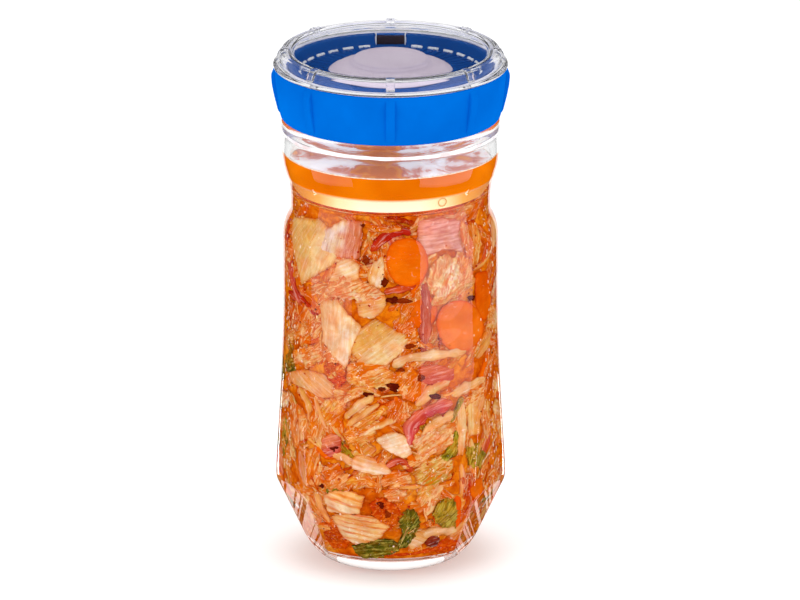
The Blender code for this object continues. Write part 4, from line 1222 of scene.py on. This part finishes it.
def make_brine():
    mat = brine_material()
    top = 200.2
    pts = [(0.0, top), (40.0, top), (44.6, top + 0.03), (45.9, top + 0.16), (46.75, top + 0.42)]
    pts += [(inner_r(z) + 0.12, z) for z in (199.5, 198.0, 195.0, 193.0, 189.0, 186.0, 184.0, 182.2)]
    pts += [(42.0, 182.0), (0.0, 182.0)]
    ob = lathe("brine_body", [(r * MM, z * MM) for r, z in divided(rounded(pts, 0.2, 2), 5.0)], mat, 192)
    # the hollow that the weight fills, a touch smaller than the weight
    hole = [(0.0, 189.4), (40.9, 189.4), (42.2, 188.9), (42.8, 187.6), (42.8, 184.9), (42.2, 183.6), (40.9, 183.1), (0.0, 183.1)]
    inner = lathe("brine_hollow", [(r * MM, z * MM) for r, z in rounded(hole, 0.8, 3)], mat, 192)
    bm = bmesh.new()
    bm.from_mesh(inner.data)
    bmesh.ops.reverse_faces(bm, faces=bm.faces)
    bm.to_mesh(inner.data)
    bm.free()
    ob = join("brine_body", [ob, inner])
    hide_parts("brine")
    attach(ob, "root")
    # the surface under the lid: painted light, pale patches where it would mirror the light and orange between, and all
    # of it glowing to stand in for the light that reaches it
    surface_glow = Nodes("brine_surface_glow")
    v = surface_glow.coords((1, 0.7, 1))
    patch = surface_glow.noise(v, 60.0, 4.0, 0.62, 1.0)
    place = surface_glow.add("ShaderNodeSeparateXYZ")
    surface_glow.link(surface_glow.coords(), place.inputs[0])
    # painted reflection: paler towards the sides, less pale further ahead of or behind a line just in front of the
    # middle
    aside = surface_glow.math("MINIMUM", surface_glow.math("MULTIPLY", surface_glow.math("ABSOLUTE", surface_glow.math("ADD", place.outputs["X"], 0.005)), 24.0), 0.28)
    ahead = surface_glow.math("MINIMUM", surface_glow.math("MULTIPLY", surface_glow.math("ABSOLUTE", surface_glow.math("ADD", place.outputs["Y"], 0.018)), 15.0), 0.17)
    patch = surface_glow.math("ADD", patch, surface_glow.math("SUBTRACT", surface_glow.math("SUBTRACT", aside, ahead), 0.13))
    tone = surface_glow.ramp(patch, [(0.26, srgb(204, 108, 52)), (0.35, srgb(234, 140, 60)), (0.43, srgb(196, 112, 96)), (0.49, srgb(222, 158, 144)), (0.55, srgb(244, 220, 216)), (0.64, srgb(255, 246, 242))])
    surface_glow.color(tone)
    surface_glow.link(tone, surface_glow.bsdf.inputs["Emission Color"])
    surface_glow.set(Roughness=0.3, Specular_IOR_Level=0.1, Emission_Strength=0.58)
    pts = [(0.0, 200.5), (40.0, 200.5), (45.6, 200.52), (46.3, 200.6), (46.3, 200.4), (45.6, 200.3), (40.0, 200.28), (0.0, 200.28)]
    disc = lathe("brine_surface", [(r * MM, z * MM) for r, z in divided(pts, 3.0)], surface_glow.mat, 192,
                 shape=lambda phi, r, z: (r, z + 0.05 * MM * noise.noise(Vector((math.cos(phi) * r * 150, math.sin(phi) * r * 150, 4)))))
    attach(disc, "root")
    # a fine pale line where the surface meets the glass
    waterline = Nodes("waterline")
    waterline.color(waterline.ramp(waterline.noise(waterline.coords(), 900.0, 3.0), [(0.35, srgb(246, 196, 140)), (0.6, srgb(255, 240, 222))]))
    waterline.set(Roughness=0.3)
    ring = arc(46.55, 200.55, 0.36, 0.30, 0, 360, 8)[:-1]
    f = lathe("waterline_ring", [(r * MM, z * MM) for r, z in ring], waterline.mat, 240, closed=True,
              shape=lambda phi, r, z: (r, z + 0.10 * MM * noise.noise(Vector((math.cos(phi) * 14, math.sin(phi) * 14, 0)))))
    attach(f, "root")
    return ob


def make_weight():
    m = Nodes("weight_glass_clear")
    m.set(Base_Color=(1.0, 0.985, 0.94, 1), Roughness=0.0, IOR=1.5, Transmission_Weight=1.0)
    m.normal(m.bump(m.noise(m.coords(), 80.0, 2.0), 0.05, 0.0008))
    m.lets_light_through()
    # the thick rim glows with the light that runs through the disc
    rim = Nodes("weight_rim")
    v = rim.coords()
    xyz = rim.add("ShaderNodeSeparateXYZ")
    rim.link(v, xyz.inputs[0])
    side = rim.math("MULTIPLY", rim.math("ABSOLUTE", xyz.outputs["X"]), 1.0 / 0.043)
    side = rim.math("ADD", side, rim.math("MULTIPLY", rim.noise(rim.coords((1, 1, 0.3)), 50.0, 3.0), 0.12))
    tone = rim.ramp(side, [(0.38, srgb(255, 254, 250)), (0.64, srgb(254, 240, 210)), (0.82, srgb(232, 176, 96)), (1.0, srgb(214, 140, 50))])
    rim.color(tone)
    rim.link(tone, rim.bsdf.inputs["Emission Color"])
    rim.set(Roughness=0.4, Specular_IOR_Level=0.0, Emission_Strength=0.20)
    pts = [(0.0, 189.5), (41.0, 189.5), (42.9, 189.5), (42.9, 187.6), (42.9, 184.9), (42.9, 183.0), (41.0, 183.0), (0.0, 183.0)]
    ob = lathe("weight_disc", [(r * MM, z * MM) for r, z in divided(rounded(pts, 1.6, 5), 5.0)], m.mat, 192)
    ob.data.materials.append(rim.mat)
    for face in ob.data.polygons:
        if math.hypot(face.center.x, face.center.y) > 41.3 * MM:
            face.material_index = 1
    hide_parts("glass_weight")
    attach(ob, "root")
    # a bubble of air caught on the rim
    phi, w = math.asin(clamp((447 - 390.6) / (2.1 * 49.0), -1, 1)), 186.6
    bubble = Nodes("air_bubble")
    bubble.color(bubble.ramp(bubble.noise(bubble.coords(), 500.0, 2.0), [(0.3, srgb(214, 170, 110)), (0.7, srgb(236, 200, 150))]))
    bubble.set(Roughness=0.4, Specular_IOR_Level=0.0)
    verts, faces, n, k = [], [], 28, 6
    for i in range(n):
        t = TAU * i / n
        for j in range(k):
            u = TAU * j / k
            q = 2.1 + 0.28 * math.cos(u)
            verts.append(around(phi + q * math.cos(t) / 43.0, (43.15 + 0.22 * math.sin(u)) * MM, (w + q * 1.05 * math.sin(t)) * MM))
    for i in range(n):
        for j in range(k):
            a, b = i * k, (i + 1) % n * k
            faces.append((a + j, b + j, b + (j + 1) % k, a + (j + 1) % k))
    ring = face_out(new_object("air_bubble", verts, faces, bubble.mat))
    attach(ring, "root")
    return ob


# ---------------------------------------------------------------- lid

def bar(outline, width, bevel, name, mat):
    """An outline in the (radius, height) plane, thickened by `width` across, with rounded edges."""
    bm = bmesh.new()
    a = [bm.verts.new((x * MM, -width / 2 * MM, z * MM)) for x, z in outline]
    b = [bm.verts.new((x * MM, width / 2 * MM, z * MM)) for x, z in outline]
    bm.faces.new(a)
    bm.faces.new(list(reversed(b)))
    for i in range(len(a)):
        j = (i + 1) % len(a)
        bm.faces.new((a[j], a[i], b[i], b[j]))
    bmesh.ops.recalc_face_normals(bm, faces=bm.faces)
    if bevel:
        bmesh.ops.bevel(bm, geom=list(bm.edges), offset=bevel * MM, segments=2, profile=0.5, affect="EDGES", clamp_overlap=True)
    mesh = bpy.data.meshes.new(name)
    bm.to_mesh(mesh)
    bm.free()
    mesh.materials.append(mat)
    mesh.polygons.foreach_set("use_smooth", [True] * len(mesh.polygons))
    ob = bpy.data.objects.new(name, mesh)
    bpy.context.scene.collection.objects.link(ob)
    return ob


def ring_of(ob, count, first=-90.0, skip=()):
    """Copies of a bar that lies along +X, turned about Z."""
    made = []
    for i in range(count):
        if i in skip:
            continue
        c = ob.copy()
        c.data = ob.data.copy()
        c.data.transform(Matrix.Rotation(math.radians(first + 360.0 * i / count), 4, "Z"))
        bpy.context.scene.collection.objects.link(c)
        made.append(c)
    bpy.data.objects.remove(ob, do_unlink=True)
    return made


def make_collar():
    mat = plastic("collar_plastic", srgb(0, 109, 214), srgb(0, 95, 196), 0.42, grain=0.10, spec=0.0)
    pts = [(49.2, 242.0), (49.5, 242.2), (54.0, 242.2), (54.8, 241.3), (54.6, 238.0), (54.0, 232.0), (52.9, 223.6), (52.3, 219.6), (51.9, 218.3),
           (51.1, 217.7), (49.5, 217.7), (49.2, 218.1)]
    pts = divided(rounded(pts, 0.5, 3, closed=True), 3.0)
    body = lathe("collar_body", [(r * MM, z * MM) for r, z in pts], mat, 192, closed=True)
    rib = bar([(51.6, 241.2), (54.9, 241.2), (56.4, 237.4), (56.0, 233.0), (54.9, 227.4), (53.2, 220.6), (52.2, 219.1), (51.0, 219.1)], 4.4, 1.1, "rib", mat)
    ob = join("collar_with_ribs", [body] + ring_of(rib, 8))
    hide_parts("lid_collar")
    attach(ob, "root")


def make_plate():
    mat = plastic("plate_plastic", srgb(22, 84, 164), srgb(14, 70, 146), 0.5, grain=0.12, spec=0.0)
    pts = [(9.0, 237.6), (43.2, 237.6), (45.4, 242.3), (46.0, 242.9), (48.3, 242.9), (48.9, 242.3), (48.9, 237.1), (44.0, 237.1), (44.0, 235.4), (9.0, 235.4)]
    pts = divided(rounded(pts, 0.35, 3, closed=True), 3.0)

    # the wall drops to nothing in front of the dark block at the back, leaving a notch
    def gap(phi, r, z):
        if math.cos(phi) < 0 and abs(r * math.sin(phi)) < 7.2 * MM and r > 43.6 * MM and z > 237.8 * MM:
            return r, 237.8 * MM
        return r, z
    body = lathe("plate_body", [(r * MM, z * MM) for r, z in pts], mat, 360, closed=True, shape=gap)
    rib = bar([(31.5, 237.3), (31.5, 237.95), (41.6, 238.15), (41.6, 237.3)], 0.7, 0.12, "spoke", mat)
    ob = join("plate_with_spokes", [body] + ring_of(rib, 60))
    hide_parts("lid_plate")
    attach(ob, "root")
    # pale dashes round the foot of the wall, between the spokes: painted highlights of the ridge there, made as small
    # white pieces
    ridge_glint = Nodes("ridge_glint_white")
    ridge_glint.color(ridge_glint.ramp(ridge_glint.noise(ridge_glint.coords(), 60.0, 2.0), [(0.3, srgb(236, 240, 246)), (0.7, srgb(255, 255, 255))]))
    ridge_glint.set(Roughness=0.5, Specular_IOR_Level=0.05)
    verts, faces = [], []
    count, n, half = 32, 8, math.radians(3.6)
    for i in range(count):
        mid = math.radians(5.6 + i * 360.0 / count)
        if math.cos(mid) < 0 and abs(math.sin(mid)) * 43.0 < 10.0:
            continue
        base = len(verts)
        for j in range(n + 1):
            phi = mid - half + 2 * half * j / n
            for r, z in ((42.4, 237.5), (42.5, 238.0), (43.2, 238.55), (43.75, 238.4), (43.5, 237.6)):
                verts.append(around(phi, r * MM, z * MM))
        for j in range(n):
            for k in range(5):
                a, b = base + j * 5 + k, base + j * 5 + (k + 1) % 5
                faces.append((a, b, b + 5, a + 5))
        faces.append(tuple(base + k for k in range(5)))
        faces.append(tuple(base + n * 5 + k for k in reversed(range(5))))
    s = face_out(new_object("ridge_glint_dashes", verts, faces, ridge_glint.mat))
    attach(s, "root")
    # dark block in the notch at the back: painted shade for the shadow seen through the notch; and the pale edges of
    # its slot
    dark = plastic("notch_shade_dark", srgb(62, 50, 58), srgb(48, 38, 46), 0.5, spec=0.0)
    tab = bar([(45.0, 237.95), (47.4, 237.95), (47.4, 241.95), (45.0, 241.95)], 13.2, 0.4, "tab", dark)
    tab = join("notch_shade_block", ring_of(tab, 1, first=90.0))
    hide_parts("back_tab")
    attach(tab, "root")
    edges = []
    for side in (-1, 1):
        e = bar([(44.3, 237.9), (48.4, 237.9), (48.4, 242.8), (46.0, 242.8), (44.3, 239.0)], 0.7, 0.15, "slot_edge", ridge_glint.mat)
        e.data.transform(Matrix.Translation((0, side * 7.05 * MM, 0)))
        e.data.transform(Matrix.Rotation(math.radians(90), 4, "Z"))
        edges.append(e)
    e = join("slot_edges", edges)
    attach(e, "root")


def make_valve():
    m = Nodes("valve_silicone")
    v = m.coords()
    m.color(m.ramp(m.noise(v, 40.0, 3.0), [(0.3, srgb(220, 206, 222)), (0.7, srgb(233, 220, 235))]))
    m.set(Roughness=0.6, Specular_IOR_Level=0.0)
    m.normal(m.bump(m.noise(v, 1800.0, 2.0), 0.15, 0.0001))
    pts = [(0.0, 245.2), (9.0, 245.15)] + arc(16.5, 243.6, 1.4, 1.4, 90, 10, 8) + arc(22.5, 243.0, 3.6, 1.9, 180, 260, 10) + [(25.9, 240.4), (29.0, 238.8), (29.5, 238.3), (29.2, 237.9), (0.0, 237.9)]
    ob = lathe("valve_dome", [(r * MM, z * MM) for r, z in divided(rounded(pts, 0.3, 2), 2.5)], m.mat, 144)
    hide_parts("valve")
    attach(ob, "root")


def make_cap():
    mat = cap_material()
    outside = [(0.0, 248.7), (45.7, 248.7), (46.3, 249.1), (47.0, 250.0), (47.8, 250.2), (50.4, 250.1), (51.6, 249.5), (52.3, 248.4), (53.2, 246.2),
               (54.1, 244.6), (55.2, 243.7), (55.5, 243.2), (55.4, 242.6)]
    inside = [(51.4, 242.6), (51.2, 244.2), (50.4, 246.8), (49.8, 248.1), (48.6, 248.5), (47.6, 248.2), (46.9, 247.2), (46.3, 246.9), (0.0, 246.9)]
    pts = divided(rounded(outside + inside, 0.35, 3), 4.0)
    body = lathe("cap_body", [(r * MM, z * MM) for r, z in pts], mat, 192)
    grip = bar([(48.6, 249.6), (51.0, 248.6), (52.6, 245.4), (54.2, 244.8), (53.3, 248.2), (52.2, 250.0), (50.6, 250.6), (48.4, 250.6)], 4.2, 0.3, "grip", mat)
    # painted highlight: a pale ring just under the cap's rim, for the bright line of light along it
    pale = Nodes("rim_light")
    pale.color(pale.ramp(pale.noise(pale.coords(), 70.0, 2.0), [(0.3, srgb(214, 214, 232)), (0.7, srgb(240, 240, 250))]))
    pale.set(Roughness=0.5, Specular_IOR_Level=0.0)
    pts = [(49.6, 242.25), (54.2, 242.25), (54.3, 242.4), (54.1, 242.52), (49.7, 242.52)]
    light = lathe("rim_light", [(r * MM, z * MM) for r, z in pts], pale.mat, 192, closed=True)
    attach(light, "root")
    ob = join("cap_with_grips", [body] + ring_of(grip, 8))
    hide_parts("clear_cap")
    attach(ob, "root")


# ---------------------------------------------------------------- build

studio()
camera()
make_jar(glass_material())
make_foot()
make_contents()
make_brine()
make_weight()
make_collar()
make_plate()
make_valve()
make_cap()
